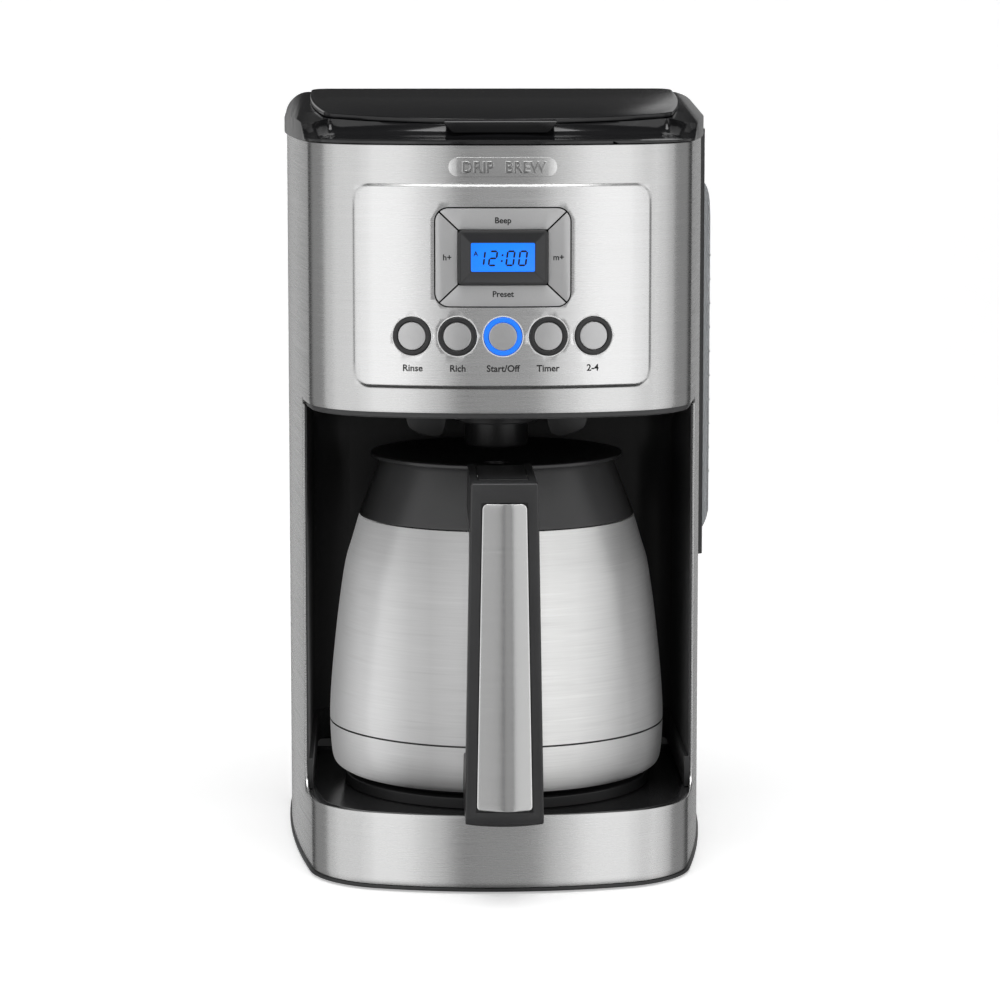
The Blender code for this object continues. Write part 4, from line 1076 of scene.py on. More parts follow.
def lidPanel():
    plate = extrude(lidOutline(0.0), "Z", 0.33, 0.37)
    slab = [(depth, deck["frontZ"] + deckSlope * depth + lift)
            for depth, lift in ((0.0, gap), (0.21, gap), (0.21, 0.0022 + gap), (0.0, 0.0022 + gap))]
    keepCommon(plate, sidePrism(slab, 0.12))
    soften(plate, 0.00045, 3)
    front, z = lidPlan["start"], deckHeight(lidPlan["start"])
    wide, tall = grip["radius"]
    section = [(front + d, z + h) for d, h in grip["tongue"]]
    section += [(front - 0.003 + wide * math.cos(a), z + 0.0001 + tall * math.sin(a))
                for a in (math.radians(180 - 9 * k) for k in range(11))]
    lip = sidePrism(section + [(front + 0.006, z + 0.0023)], grip["halfWide"])
    left = [(x, z + h) for x, h in grip["edge"]]
    keepCommon(lip, frontPrism(left + mirrored(left), -0.01, 0.06))
    join(plate, soften(lip, 0.00035, 3, 40.0))
    for x in (-deck["hingeX"], deck["hingeX"]):
        ear = arc((frontY + deck["hingeDepth"], deck["hingeZ"]), 0.003, -90, 90, 16)
        ear += [(frontY + 0.195, 0.3555), (frontY + 0.189, 0.355), (frontY + 0.189, 0.349)]
        join(plate, cut(extrude(ear, "X", x - 0.004, x + 0.004), hingeBore(x, 0.01)))
    place(smooth(plate), "lidPanel", "lid", "glossBlack", "lid")


topDeck()
lidPanel()
print("deck and lid shaped")


# ---- bay, tray and base ----

bay = {"halfWidth": 0.0885, "rear": 0.192, "edge": 0.0625, "corner": 0.018, "ledge": 0.002, "deep": 0.24}
sheetInside = wrapSheet["thick"] + gap


def bayLiner():
    liner = extrude(wrapOutline(sheetInside, 0.1955), "Z", 0.0357, 0.2148)
    keepCommon(liner, box((-0.0955, frontY + bay["edge"], 0.0), (0.0955, 0.15, 0.3)))
    centre = (0.0, frontY + bay["rear"] - bay["deep"] / 2)
    for half, low, high in ((bay["halfWidth"], 0.05, 0.3), (bay["halfWidth"] - bay["ledge"], 0.02, 0.06)):
        cut(liner, extrude(roundedRect(2 * half, bay["deep"], bay["corner"], centre, 14), "Z", low, high))
    soften(liner, 0.00055, 3)
    place(smooth(liner), "bayWalls", "machine", "bayBlack", "bay_liner")


platform = {
    "lipCentre": (0.0712, 0.0354), "lip": 0.0008, "before": [(0.03, 0.0313), (0.072, 0.0313)],
    "after": [(0.056, 0.0362), (0.055, 0.035), (0.05, 0.035), (0.0496, 0.0345), (0.044, 0.0345),
              (0.0436, 0.035), (0.03, 0.035)],
}


def baseTray():
    tray = extrude(closedOutline(sheetInside, 0.19, 0.006), "Z", 0.0285, 0.0353)
    cut(tray, extrude(closedOutline(0.0055, 0.185, 0.006), "Z", 0.031, 0.04))
    soften(tray, 0.0005, 3)
    place(smooth(tray), "baseTray", "machine", "trayBlack", "base_tray")
    profile = platform["before"] + arc(platform["lipCentre"], platform["lip"], 0, 90, 6) + platform["after"]
    place(smooth(aroundCarafe(profile), 28.0), "carafePlatform", "machine", "softBlack", "carafe_platform")


underside = {
    # feet and screws: (radius of the hole, sides, places by x and depth)
    "feet": (0.0078, 40, ((-0.064, 0.042), (0.064, 0.042), (-0.078, 0.198), (0.078, 0.198))),
    "screws": (0.0033, 32, ((-0.076, 0.07), (0.076, 0.07), (-0.056, 0.206), (0.056, 0.206))),
    "vents": 6, "ventDepth": 0.148, "ventPitch": 0.006, "ventSize": (0.05, 0.0022, 0.001),
}


def basePlate():
    plate = extrude(closedOutline(-0.0009, 0.2274), "Z", 0.001, 0.0025)
    join(plate, band(sheetInside, 0.0031, 0.188, 0.002, 0.008))
    holes = [lathe(pipe(0.0, radius, 0.0, 0.01), (x, frontY + d), sides)
             for radius, sides, spots in (underside["feet"], underside["screws"]) for x, d in spots]
    for k in range(underside["vents"]):
        spot = (0.0, frontY + underside["ventDepth"] + underside["ventPitch"] * k)
        holes.append(extrude(roundedRect(*underside["ventSize"], spot, 4), "Z", 0.0, 0.01))
    cut(plate, together(holes))
    soften(plate, 0.0003)
    place(smooth(plate), "basePlate", "machine", "satinBlack", "base_plate")


bayLiner()
baseTray()
basePlate()
print("bay and base shaped")


# ---- rear cover and water window ----

rear = {"halfWidth": 0.099, "depth": 0.2265, "corner": 0.018, "wall": 0.0022, "louvres": 7,
        "louvrePitch": 0.007, "louvreLow": 0.05, "gland": (-0.055, frontY + 0.2265, 0.024)}
window = {"low": 0.139, "high": 0.31, "depth": 0.208, "half": 0.0102, "baseX": 0.1008,
          "bulge": 0.0082, "padX": 0.105, "padHalf": 0.0145, "marks": 10, "markLow": 0.166, "markPitch": 0.012}


def rearOutline(inset, firstDepth):
    side, back = rear["halfWidth"] - inset, frontY + rear["depth"] - inset
    corner = rear["corner"] - inset
    right = [(side, frontY + firstDepth)] + arc((side - corner, back - corner), corner, 0, 90, 12)
    return right + mirrored(right)


def rearCover():
    first, deep = 0.192 + gap, rear["depth"]
    cover = extrude(rearOutline(0.0, first) + rearOutline(rear["wall"], first)[::-1], "Z", 0.0028, 0.3368)
    middle, half, padX = frontY + window["depth"], window["padHalf"], window["padX"]
    pad = [(0.098, -half), (padX - 0.002, -half), (padX - 0.0006, 0.0008 - half), (padX, 0.0025 - half),
           (padX, half - 0.0045), (0.0985, half)]
    join(cover, extrude([(x, middle + y) for x, y in pad], "Z", 0.126, 0.3368))
    reach = window["half"] + gap
    cut(cover, box((window["baseX"] - gap, middle - reach, window["low"] - gap),
                   (0.12, middle + reach, window["high"] + gap)))
    tools = [shifted(facingFront(pipe(0.0, 0.0065, -0.02, 0.02), 40), *rear["gland"])]
    for k in range(rear["louvres"]):
        slot = roundedRect(0.044, 0.003, 0.0014, (0.0, rear["louvreLow"] + rear["louvrePitch"] * k), 6)
        tools.append(frontPrism(slot, deep - 0.005, deep + 0.005))
    cut(cover, together(tools))
    soften(cover, 0.0004, 3, 48.0)
    place(smooth(cover, 30.0), "rearCover", "machine", "softBlack", "rear_cover")
    blades = grow(barRow, "innerBlack", {
        "Count": rear["louvres"], "First": (0.0, frontY + deep - 0.0032, rear["louvreLow"] + 0.0008),
        "Step": (0.0, 0.0, rear["louvrePitch"]), "Size": (0.047, 0.0034, 0.0009), "Tilt": (0.6, 0.0, 0.0)})
    place(blades, "rearLouvres", "machine", "innerBlack")


def waterWindow():
    w, middle, low, high = window, frontY + window["depth"], window["low"], window["high"]
    outline = [(w["baseX"], middle - w["half"])]
    outline += [(w["baseX"] + w["bulge"] * math.cos(a), middle + w["half"] * math.sin(a))
                for a in (math.radians(-90 + 6 * k) for k in range(1, 30))]
    clear = extrude(outline + [(w["baseX"], middle + w["half"])], "Z", low, high)
    outer, inner = w["baseX"] + w["bulge"] + 0.001, w["baseX"] - 0.001
    curve = flowing([(w["padX"], low - 0.001), (outer - 0.0018, low + 0.006), (outer - 0.0008, low + 0.02),
                     (outer, high - 0.05), (outer - 0.0014, high - 0.013), (outer - 0.003, high - 0.003),
                     (outer - 0.0055, high + 0.001)], 5)
    swell = [(inner, low - 0.001)] + curve + [(inner, high + 0.001)]
    keepCommon(clear, extrude(swell, "Y", middle - 0.03, middle + 0.03))
    soften(clear, 0.00035, 2, 45.0)
    place(smooth(clear, 30.0), "waterWindow", "machine", "clearWindow", "water_window")
    marks = grow(barRow, "levelMark", {
        "Count": w["marks"], "First": (w["baseX"] + w["bulge"], middle, w["markLow"]),
        "Step": (0.0, 0.0, w["markPitch"]), "Size": (0.0003, 0.006, 0.0006), "Tilt": (0.0, 0.0, 0.0)})
    place(marks, "levelMarks", "machine", "levelMark")


def cordGland():
    profile = [(0.0035, -0.004), (0.0062, -0.004), (0.0062, 0.0003), (0.009, 0.0003), (0.009, 0.0015),
               (0.0086, 0.0021), (0.0078, 0.0025), (0.0045, 0.0025), (0.0037, 0.0021), (0.0035, 0.0015)]
    gland = shifted(facingFront(profile, 64), *rear["gland"])
    place(smooth(gland, 30.0), "cordGland", "machine", "softBlack", "cord_gland")


rearCover()
waterWindow()
cordGland()
print("rear cover and window shaped")


# ---- brewing parts ----

brew = {
    "ribs": {"Count": 24, "Radius": 0.0506, "Centre": (0.0, carafeY, 0.2725), "Thick": 0.0012, "Wide": 0.0022,
             "Tall": 0.08, "Lean": math.atan(0.0096 / 0.086), "Sides": 8},
    "spring": {"Turns": 4.0, "Radius": 0.0058, "Height": 0.0151, "Wire": 0.0005, "Base": (0.0, carafeY, 0.1945)},
    "spout": [(0.0175, 0.2036), (0.0179, 0.203), (0.0191, 0.203), (0.0196, 0.2036), (0.0204, 0.209),
              (0.0232, 0.214), (0.0262, 0.217), (0.0175, 0.217)],
    "wing": [(0.024, 0.217), (0.024, 0.202), (0.028, 0.196), (0.04, 0.199), (0.043, 0.206), (0.043, 0.217)],
    "basket": [(0.063, 0.322), (0.063, 0.32), (0.061, 0.319), (0.05, 0.22), (0.0496, 0.2196), (0.015, 0.2196),
               (0.015, 0.1938), (0.0147, 0.1922), (0.014, 0.1915), (0.0093, 0.1915), (0.009, 0.192),
               (0.009, 0.2105), (0.0045, 0.2105), (0.0045, 0.2215), (0.0484, 0.2215), (0.0594, 0.32),
               (0.06, 0.322)],
    "gold": [(0.0, 0.229), (0.047, 0.229), (0.0566, 0.315), (0.0575, 0.319), (0.0555, 0.319), (0.0555, 0.315),
             (0.046, 0.2302), (0.0, 0.2302)],
    "plunger": [(0.0, 0.1897), (0.0052, 0.1897), (0.0068, 0.1901), (0.0075, 0.191), (0.0075, 0.1935),
                (0.0025, 0.1935), (0.0025, 0.2235), (0.0098, 0.2235), (0.0098, 0.225), (0.0, 0.225)],
}


def brewHousing():
    plate = extrude(closedOutline(sheetInside, 0.19, 0.006), "Z", 0.2153, 0.2188)
    soften(plate, 0.0008, 3)
    join(plate, aroundCarafe(pipe(0.064, 0.066, 0.217, 0.334)), aroundCarafe(brew["spout"], 72))
    for side in (-1, 1):
        wing = flowing([(side * x, z) for x, z in brew["wing"]], 5)
        wing = extrude(wing, "Y", carafeY - 0.006, carafeY - 0.003)
        join(plate, soften(wing, 0.0006, 3))
    cut(plate, aroundCarafe(pipe(0.0, 0.0175, 0.19, 0.23), 72))
    place(smooth(plate, 30.0), "brewHousing", "machine", "bayBlack", "brew_housing")


def filterBasket():
    for profile, name, look, node in ((brew["basket"], "filterBasket", "satinBlack", "filter_basket"),
                                      (brew["gold"], "goldFilter", "goldMesh", "permanent_filter")):
        place(smooth(aroundCarafe(profile), 28.0), name, "machine", look, node)
    place(grow(pegRing, "softBlack", brew["ribs"]), "filterRibs", "machine", "softBlack")


def dripStop():
    seal = smooth(aroundCarafe(pipe(0.0055, 0.01, 0.2218, 0.2232), 48))
    place(seal, "dripGasket", "machine", "silicone", "drip_stop_gasket")
    plunger = smooth(aroundCarafe(brew["plunger"], 48))
    place(plunger, "dripPlunger", "drip_stop", "satinBlack", "drip_stop_plunger")
    spring = grow(coil, "springSteel", brew["spring"])
    place(spring, "dripSpring", "machine", "springSteel", "drip_stop_spring")
    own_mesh(spring)


def pathPiece(points):
    mesh = bpy.data.meshes.new("piece")
    mesh.from_pydata(points, [(i, i + 1) for i in range(len(points) - 1)], [])
    return newPiece(mesh)


water = {
    "ring": 0.052, "mouth": 0.03, "ringZ": 0.0185,
    # name: (node, thickness, pieces, path by x, depth, z)
    "coldHose": ("cold_hose", 0.004, 40, (
        (0.03, 0.158, 0.0185), (0.03, 0.19, 0.0185), (0.03, 0.203, 0.0205), (0.03, 0.2095, 0.027),
        (0.03, 0.211, 0.036), (0.03, 0.211, 0.0494))),
    "riserTube": ("riser_tube", 0.0035, 90, (
        (-0.03, 0.158, 0.0185), (-0.04, 0.18, 0.0185), (-0.065, 0.199, 0.0185), (-0.084, 0.205, 0.02),
        (-0.0905, 0.206, 0.027), (-0.0915, 0.206, 0.038), (-0.0915, 0.206, 0.18), (-0.0915, 0.206, 0.32))),
}


def waterPath():
    half = math.degrees(math.asin(water["mouth"] / water["ring"]))
    ring = [(*spot, water["ringZ"]) for spot in arc((0.0, carafeY), water["ring"], 90 + half, 450 - half, 30)]
    tube = grow(hose, "castAluminium", {"Radius": 0.0065, "Sides": 24, "Pieces": 90}, pathPiece(ring))
    place(tube, "boilerTube", "machine", "castAluminium", "boiler_tube")
    for name in ("coldHose", "riserTube"):
        node, thick, pieces, points = water[name]
        line = pathPiece([(x, frontY + d, z) for x, d, z in points])
        made = grow(hose, "hose", {"Radius": thick, "Sides": 20, "Pieces": pieces}, line)
        place(made, name, "machine", "hose", node)


brewHousing()
filterBasket()
dripStop()
waterPath()
print("brewing parts shaped")


# ---- badge, display, keys and buttons ----

def words(text, capHeight, deep, heavy=0.022, edge=0.0):
    # closed letters facing -y, centred on the origin, drawn in x and z
    curve = bpy.data.curves.new("words", "FONT")
    curve.body = text
    curve.align_x = "CENTER"
    curve.resolution_u = 3
    curve.extrude = 0.02
    curve.bevel_depth = edge
    curve.bevel_resolution = 2
    curve.offset = heavy
    letters = bpy.data.objects.new("words", curve)
    bpy.context.scene.collection.objects.link(letters)
    bpy.context.view_layer.update()
    mesh = bpy.data.meshes.new_from_object(letters.evaluated_get(bpy.context.evaluated_depsgraph_get()))
    size = capHeight / 0.682         # the font's capitals are this share of its size
    mesh.transform(Matrix.Diagonal((size, size, deep / (curve.extrude + edge), 1.0)))
    bpy.data.objects.remove(letters, do_unlink=True)
    mesh.transform(Matrix.Translation((0.0, 0.0, -capHeight / 2)) @ Matrix.Rotation(math.pi / 2, 4, "X"))
    return tidyMesh(newPiece(mesh))


def printed(text, capHeight, x, z, lift, name, body):
    label = shifted(words(text, capHeight, 0.00005), x, 0.0, z)
    place(ontoPanel(label, lift), name, body, "inkBlack")


badge = {"width": 0.048, "tall": 0.0086, "z": 0.327, "words": (("DRIP", -0.0112), ("BREW", 0.01)),
         "wordHeight": 0.0046, "wordDeep": 0.00045}


def badgePlate():
    plate = band(-0.0008, -0.0001, 0.06, 0.32, 0.334)
    keepCommon(plate, frontPrism(roundedRect(badge["width"], badge["tall"], 0.0042, (0.0, badge["z"]), 10)))
    soften(plate, 0.0002, 3)
    place(smooth(plate), "badgePlate", "machine", "badgeSteel", "badge")
    letters = [shifted(words(text, badge["wordHeight"], badge["wordDeep"], 0.0, 0.05), x, 0.0, badge["z"])
               for text, x in badge["words"]]
    place(smooth(ontoPanel(together(letters), -0.0001), 30.0), "badgeWords", "machine", "letterSteel")


display = {"rimDepth": -0.0028, "floorDepth": -0.0008, "back": 0.0045, "screenBack": 0.0035}


def displayBezel():
    rim, floor = display["rimDepth"], display["floorDepth"]
    bezel = frontPrism(keypadRect(controls["bezel"], 0.0, 0.0017), rim, display["back"])
    soften(bezel, 0.0005, 3)
    mouth = [(x, frontY + rim - 0.0002, z) for x, z in keypadRect(controls["bezel"], -0.0016, 0.001, 6)]
    seat = [(x, frontY + floor, z) for x, z in keypadRect(controls["screen"], 0.0008, 0.0006, 6)]
    cut(bezel, loft([mouth, seat]), frontPrism(keypadRect(controls["screen"], 0.0, 0.0007, 5)))
    soften(bezel, 0.00012, 2, 25.0)
    place(smooth(bezel, 20.0), "displayBezel", "machine", "bezelBlack", "display_bezel")
    glass = keypadRect(controls["screen"], -0.0002, 0.0006, 5)
    screen = frontPrism(glass, floor + 0.0001, display["screenBack"])
    place(smooth(soften(screen, 0.0001)), "displayScreen", "machine", "blueScreen", "display_screen")


clock = {
    "reading": "12:00", "tall": 0.007, "wide": 0.0039, "stroke": 0.0008, "slant": 0.13, "trim": 0.00012,
    "centres": (-0.0098, -0.0044, -0.0004, 0.0033, 0.0088), "z": -0.0004, "dots": (-0.0012, 0.0014),
    "mark": ("A", 0.0019, -0.012, 0.0017),
}
litSegments = {"0": "abcdef", "1": "bc", "2": "abged", "3": "abgcd", "4": "fgbc", "5": "afgcd",
               "6": "afgecd", "7": "abc", "8": "abcdefg", "9": "abcdfg"}
segmentEnds = {"a": (-1, 1, 1, 1), "b": (1, 0, 1, 1), "c": (1, -1, 1, 0), "d": (-1, -1, 1, -1),
               "e": (-1, -1, -1, 0), "f": (-1, 0, -1, 1), "g": (-1, 0, 1, 0)}


def clockDigits():
    h, trim, bars = clock["stroke"] / 2, clock["trim"], []
    reachX, reachZ = clock["wide"] / 2 - h, clock["tall"] / 2 - h

    def lean(bar, centre):
        bars.append([(centre + x + clock["slant"] * z, controls["keypadZ"] + clock["z"] + z) for x, z in bar])

    for sign, centre in zip(clock["reading"], clock["centres"]):
        if sign == ":":
            for z in clock["dots"]:
                lean([(-h, z - h), (h, z - h), (h, z + h), (-h, z + h)], centre)
            continue
        for letter in litSegments[sign]:
            ax, az, bx, bz = segmentEnds[letter]
            ax, bx, az, bz = ax * reachX, bx * reachX, az * reachZ, bz * reachZ
            level = az == bz
            start, end = (ax if level else az) + trim, (bx if level else bz) - trim
            if level:
                lean([(start, az), (start + h, az + h), (end - h, az + h), (end, az), (end - h, az - h),
                      (start + h, az - h)], centre)
            else:
                lean([(ax, start), (ax + h, start + h), (ax + h, end - h), (ax, end), (ax - h, end - h),
                      (ax - h, start + h)], centre)
    floor = display["floorDepth"]
    digits = together([frontPrism(bar, floor - 0.00002, floor + 0.00012) for bar in bars])
    place(digits, "clockDigits", "machine", "inkBlack", slot="blue_screen")
    text, tall, x, z = clock["mark"]
    mark = shifted(words(text, tall, 0.00005), x, frontY + floor, controls["keypadZ"] + z)
    place(mark, "clockMark", "machine", "inkBlack", slot="blue_screen")


keys = {
    "rise": 0.0006, "split": 0.0005, "soft": 0.00012, "labelHeight": 0.0025,
    # name: (label, x, z)
    "labels": {"key_top": ("Beep", 0.0, 0.3037), "key_bottom": ("Preset", 0.0, 0.2712),
               "key_right": ("m+", 0.0246, 0.2873), "key_left": ("h+", -0.0246, 0.2873)},
}


def plainName(name, ending):
    return name.replace("_", "") + ending


def displayKeys():
    (wide, tall), middle, split = controls["keypad"], controls["keypadZ"], keys["split"]
    bed = band(0.0024, 0.0032, 0.06, 0.264, 0.311)
    keepCommon(bed, frontPrism(roundedRect(wide + 0.006, tall + 0.004, 0.0064, (0.0, middle))))
    place(smooth(bed), "keyBed", "machine", "inkBlack")
    (outX, outZ), (inX, inZ) = (wide / 2, tall / 2), (side / 2 + gap for side in controls["bezel"])
    top = [(split - inX, inZ), (inX - split, inZ), (outX - split, outZ), (split - outX, outZ)]
    right = [(inX, inZ - split), (inX, split - inZ), (outX, split - outZ), (outX, outZ - split)]
    shapes = (top, [(x, -z) for x, z in top], right, [(-x, z) for x, z in right])
    for (name, (text, x, z)), shape in zip(keys["labels"].items(), shapes):
        key = band(-panelSize["raise"] - keys["rise"], 0.001, 0.06, 0.26, 0.315)
        keepCommon(key, frontPrism([(a, middle + b) for a, b in shape]),
                   frontPrism(keypadRect(controls["keypad"], -0.0002, 0.006, 12)))
        soften(key, keys["soft"])
        place(smooth(key, 30.0), plainName(name, "Cap"), name, "silverKey", name)
        printed(text, keys["labelHeight"], x, z, keys["rise"], plainName(name, "Label"), name)


buttons = {
    "labels": {"button_clean": "Rinse", "button_strength": "Rich", "button_power": "Start/Off",
               "button_timer": "Timer", "button_small_batch": "2-4"},
    "lit": "button_power", "labelZ": 0.2381, "capHeight": 0.0028,
}


def roundButtons():
    outer, cap = controls["ringOuter"], controls["capRadius"]
    ring = rounded(pipe(controls["ringInner"], outer, -0.001, 0.005), 0.0004)
    button = rounded([(0.0, -0.0008), (cap + 0.0001, -0.0008), (cap + 0.0001, 0.006), (0.0025, 0.006),
                      (0.0025, 0.0085), (0.0, 0.0085)], 0.0005)
    # the lip is a thin raised ring whose near-white colour is a painted highlight, for the light caught by the
    # hole's edge
    lip = rounded(pipe(outer + 0.00025, outer + 0.0008, -0.0003, 0.0004), 0.0002)
    lips = []
    for k, (name, text) in enumerate(buttons["labels"].items()):
        x = (k - 2) * controls["pitch"]
        look = "blueRing" if name == buttons["lit"] else "ringBlack"
        made = [smooth(turned(facingFront(profile, 72), panelPlace(x, controls["buttonZ"])))
                for profile in (ring, button)]
        place(made[0], plainName(name, "Ring"), "machine", look, name + "_ring")
        place(made[1], plainName(name, "Cap"), name, "buttonCap", name)
        lips.append(turned(facingFront(lip, 72), panelPlace(x, controls["buttonZ"])))
        printed(text, buttons["capHeight"], x, buttons["labelZ"], 0.0, plainName(name, "Label"), "machine")
    place(smooth(together(lips)), "ringHighlightLips", "machine", "brightLip")


badgePlate()
displayBezel()
clockDigits()
displayKeys()
roundButtons()
print("controls shaped")


# ---- thermal carafe ----

carafe = {
    "outer": [(0.0735, 0.0392), (0.0772, 0.042), (0.0786, 0.049), (0.0792, 0.064), (0.0784, 0.08),
              (0.0766, 0.099), (0.0745, 0.117), (0.0716, 0.136), (0.0683, 0.1475), (0.065, 0.1587)],
    "thick": 0.0008, "grooveZ": 0.0614, "grooveDeep": 0.0004, "grooveWide": 0.0007,
    "collar": [(0.065, 0.1592), (0.0605, 0.171), (0.0552, 0.1848), (0.0545, 0.1864)],
    "collarInside": [(0.0526, 0.1864), (0.0526, 0.17), (0.0598, 0.1592)],
    "lid": [(0.006, 0.183), (0.03, 0.1835), (0.048, 0.186), (0.056, 0.1885), (0.0594, 0.1885),
            (0.0594, 0.1868), (0.0521, 0.1868), (0.0521, 0.17), (0.0501, 0.17), (0.0501, 0.164),
            (0.006, 0.164)],
    "foot": [(0.0, 0.04), (0.06, 0.04), (0.06, 0.0366), (0.066, 0.0366), (0.067, 0.0386), (0.0724, 0.0392),
             (0.0724, 0.0415), (0.0, 0.0415)],
}


def carafeShell():
    skin = flowing(carafe["outer"], 8)
    z, w, deep = carafe["grooveZ"], carafe["grooveWide"] / 2, carafe["grooveDeep"]
    near = min(skin, key=lambda p: abs(p[1] - z))[0]
    groove = [(near, z - w * 1.2), (near - deep, z - w * 0.5), (near - deep, z + w * 0.5), (near, z + w * 1.2)]
    grooved = [p for p in skin if p[1] < z - 3 * w] + groove + [p for p in skin if p[1] > z + 3 * w]
    inside = [(r - carafe["thick"], h) for r, h in skin[::-1]]
    shell = smooth(aroundCarafe(grooved + inside, 160), 25.0)
    place(shell, "carafeShell", "carafe", "carafeSteel", "carafe_shell")


def carafeTop():
    collar = flowing(carafe["collar"], 4) + carafe["collarInside"]
    for profile, corner, steps, name, body, look, node in (
        (collar, 0.0005, 144, "carafeCollar", "carafe", "collarBlack", "carafe_collar"),
        (carafe["lid"], 0.0005, 144, "carafeLid", "carafe_lid", "rimBlack", "carafe_lid"),
        (carafe["foot"], 0.0004, 128, "carafeFoot", "carafe", "softBlack", "carafe_base_cap"),
    ):
        place(smooth(aroundCarafe(rounded(profile, corner), steps)), name, body, look, node)


def tapered(highHalf, high, lowHalf, low, bow=0.0):
    bottom = [(-lowHalf + 2 * lowHalf * k / 10, low + bow * (2 * k / 10 - 1) ** 2) for k in range(11)]
    return bottom + [(highHalf, high), (-highHalf, high)]


handle = {
    "front": -0.028, "bow": 0.0018, "shape": (0.0148, 0.192, 0.01745, 0.0362),
    "pocket": (0.0102, 0.1817, 0.01275, 0.0435), "leverDepth": 0.016, "leverZ": 0.1873, "leverHalf": 0.011,
    # side views by depth and z
    "side": [(-0.028, 0.041), (-0.027, 0.038), (-0.0244, 0.0362), (-0.008, 0.0366), (0.033, 0.043),
             (0.033, 0.059), (0.002, 0.059), (-0.004, 0.0605), (-0.0076, 0.065), (-0.009, 0.072), (-0.009, 0.152),
             (-0.0076, 0.159), (-0.0036, 0.165), (0.002, 0.168), (0.055, 0.168), (0.055, 0.1889),
             (-0.019, 0.1889), (-0.0206, 0.1902), (-0.028, 0.1902)],
    "lever": [(-0.0055, 0.1862), (0.01, 0.1855), (0.016, 0.1845), (0.022, 0.1855), (0.044, 0.1862),
              (0.044, 0.1892), (-0.0055, 0.1892)],
}
inlay = {
    "high": 0.1812, "highHalf": 0.0097, "low": 0.044, "lowHalf": 0.01225, "corner": 0.0022, "thick": 0.001,
    "ridge": 0.16, "softness": 0.2, "slope": 0.135, "edgeLift": 0.0002, "rows": 40, "columns": 36,
}


def clearanceBody():
    skin = flowing(carafe["outer"], 5) + flowing(carafe["collar"], 3)
    outline = [(0.0, 0.03)] + [(r + gap, z) for r, z in skin] + [(0.06, 0.1866), (0.06, 0.21), (0.0, 0.21)]
    return aroundCarafe(outline, 128)


def leverPinBore():
    centre = (frontY + handle["leverDepth"], handle["leverZ"])
    return extrude(arc(centre, 0.0015, 0, 345, 23), "X", -0.03, 0.03)


def inlayLift(side, half):
    # the strip is bent along a soft ridge that runs down its length
    def fall(spot):
        bend = math.log(math.cosh((spot - inlay["ridge"]) / inlay["softness"]))
        return inlay["slope"] * inlay["softness"] * half * bend
    return inlay["edgeLift"] + fall(-1) - fall(side)


def handleInlay():
    first, high, low, corner = frontY + handle["front"], inlay["high"], inlay["low"], inlay["corner"]
    points = []
    for k in range(inlay["rows"] + 1):
        t = 0.5 - 0.5 * math.cos(math.pi * k / inlay["rows"])
        z = low + (high - low) * t
        half = inlay["lowHalf"] + (inlay["highHalf"] - inlay["lowHalf"]) * t
        near = max(0.0, corner - min(z - low, high - z))
        reach = half - (corner - math.sqrt(max(0.0, corner * corner - near * near)))
        for i in range(inlay["columns"] + 1):
            side = 2 * i / inlay["columns"] - 1
            points.append((side * reach, first - inlayLift(side, half), z))
    count = len(points)
    points += [(x, first + inlay["thick"], z) for x, y, z in points]
    plate = soften(solid(points, sheetFaces(inlay["rows"] + 1, inlay["columns"] + 1, count)), 0.0003, 3)
    place(smooth(plate, 40.0), "handleInlay", "carafe", "inlaySteel", "handle_inlay")


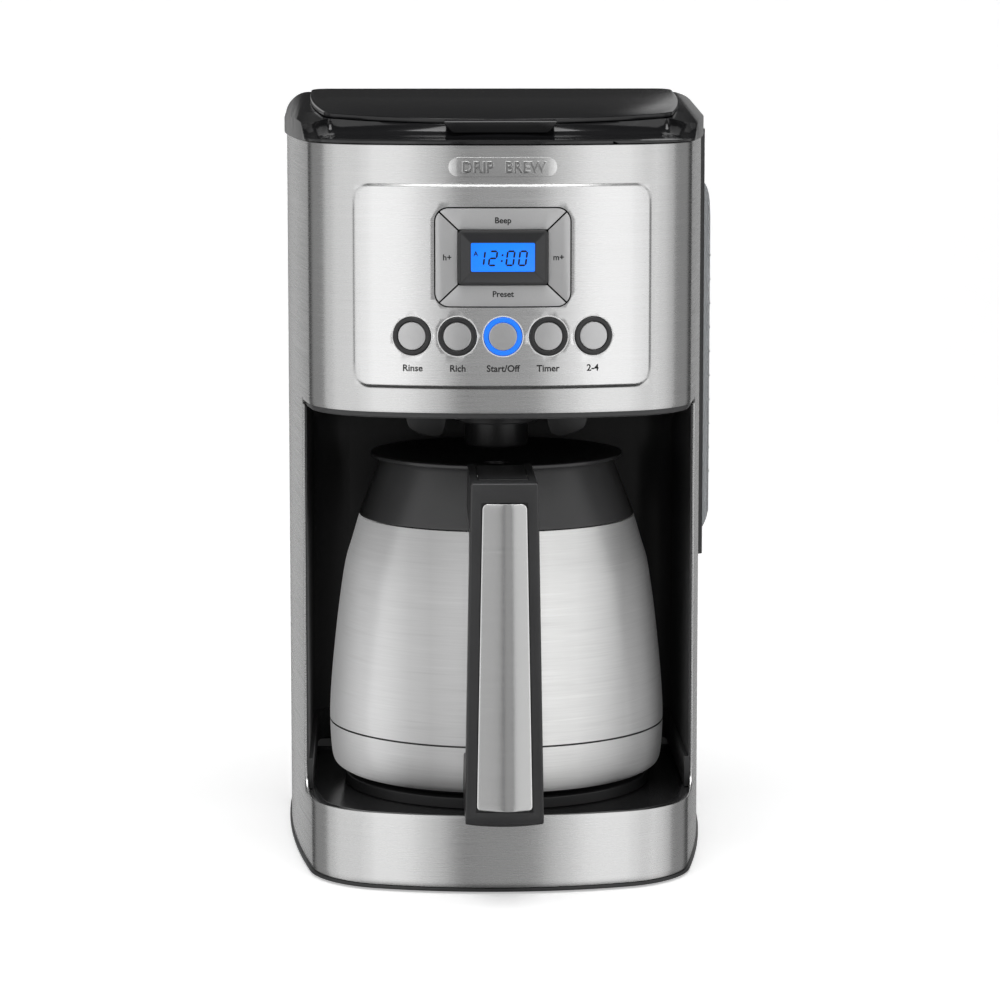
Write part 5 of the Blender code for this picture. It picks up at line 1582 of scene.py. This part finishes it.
def carafeHandle():
    grasp = sidePrism(handle["side"], 0.03)
    keepCommon(grasp, frontPrism(tapered(*handle["shape"], handle["bow"]), -0.06, 0.07))
    soften(grasp, 0.0009, 4, 42.0)
    cut(grasp, clearanceBody(), frontPrism(tapered(*handle["pocket"]), -0.06, handle["front"] + 0.0013),
        box((-0.0113, frontY - 0.006, 0.1815), (0.0113, frontY + 0.06, 0.2)), leverPinBore())
    soften(grasp, 0.00022, 2, 55.0)
    place(smooth(grasp, 30.0), "carafeHandle", "carafe", "handleBlack", "carafe_handle")
    handleInlay()
    lever = cut(sidePrism(handle["lever"], handle["leverHalf"]), leverPinBore())
    soften(lever, 0.0006, 3)
    place(smooth(lever, 30.0), "pourLever", "pour_lever", "satinBlack", "pour_lever")


carafeShell()
carafeTop()
carafeHandle()
print("carafe shaped")


# ---- spray head and the parts left as they were built ----

spray = {
    "head": [(0.0, 0.0), (0.038, 0.0), (0.042, 0.003), (0.042, 0.006), (0.03, 0.006), (0.029, 0.0078),
             (0.0, 0.0078)],
    "rows": (("sprayInner", 5, 0.012), ("sprayOuter", 9, 0.026)), "nozzle": 0.0044,
}


def sprayHead():
    lift = deckHeight(0.107) + gap - 0.0082
    spot = Matrix.Translation((0.0, carafeY, lift)) @ Matrix.Rotation(math.atan(deckSlope), 4, "X")
    head = turned(lathe(rounded(spray["head"], 0.0005)), spot)
    place(smooth(head), "sprayHead", "lid", "satinBlack", "spray_head")
    for name, count, radius in spray["rows"]:
        pegs = grow(pegRing, "silicone", {
            "Count": count, "Radius": radius, "Centre": (0.0, 0.0, 0.0), "Thick": spray["nozzle"],
            "Wide": spray["nozzle"], "Tall": 0.0014, "Lean": 0.0, "Sides": 20})
        place(turned(pegs, spot), name, "lid", "silicone", slot="black_plastic")


sprayHead()

lookOf = {
    "water_tank": "smokeTank", "charcoal_filter_holder": "innerBlack", "control_board": "circuitBoard",
    "carafe_liner": "frameSteel",
    **dict.fromkeys(("lid_hinge_pin_left", "lid_hinge_pin_right", "lever_pin"), "pinSteel"),
    **{f"foot_{k}": "rubber" for k in range(1, 5)}, **{f"base_screw_{k}": "zincPlate" for k in range(1, 5)},
}
for name, look in lookOf.items():
    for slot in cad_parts[name].material_slots:
        slot.link = "OBJECT"
        slot.material = finishes[look]
print("spray head shaped and the remaining nodes finished")
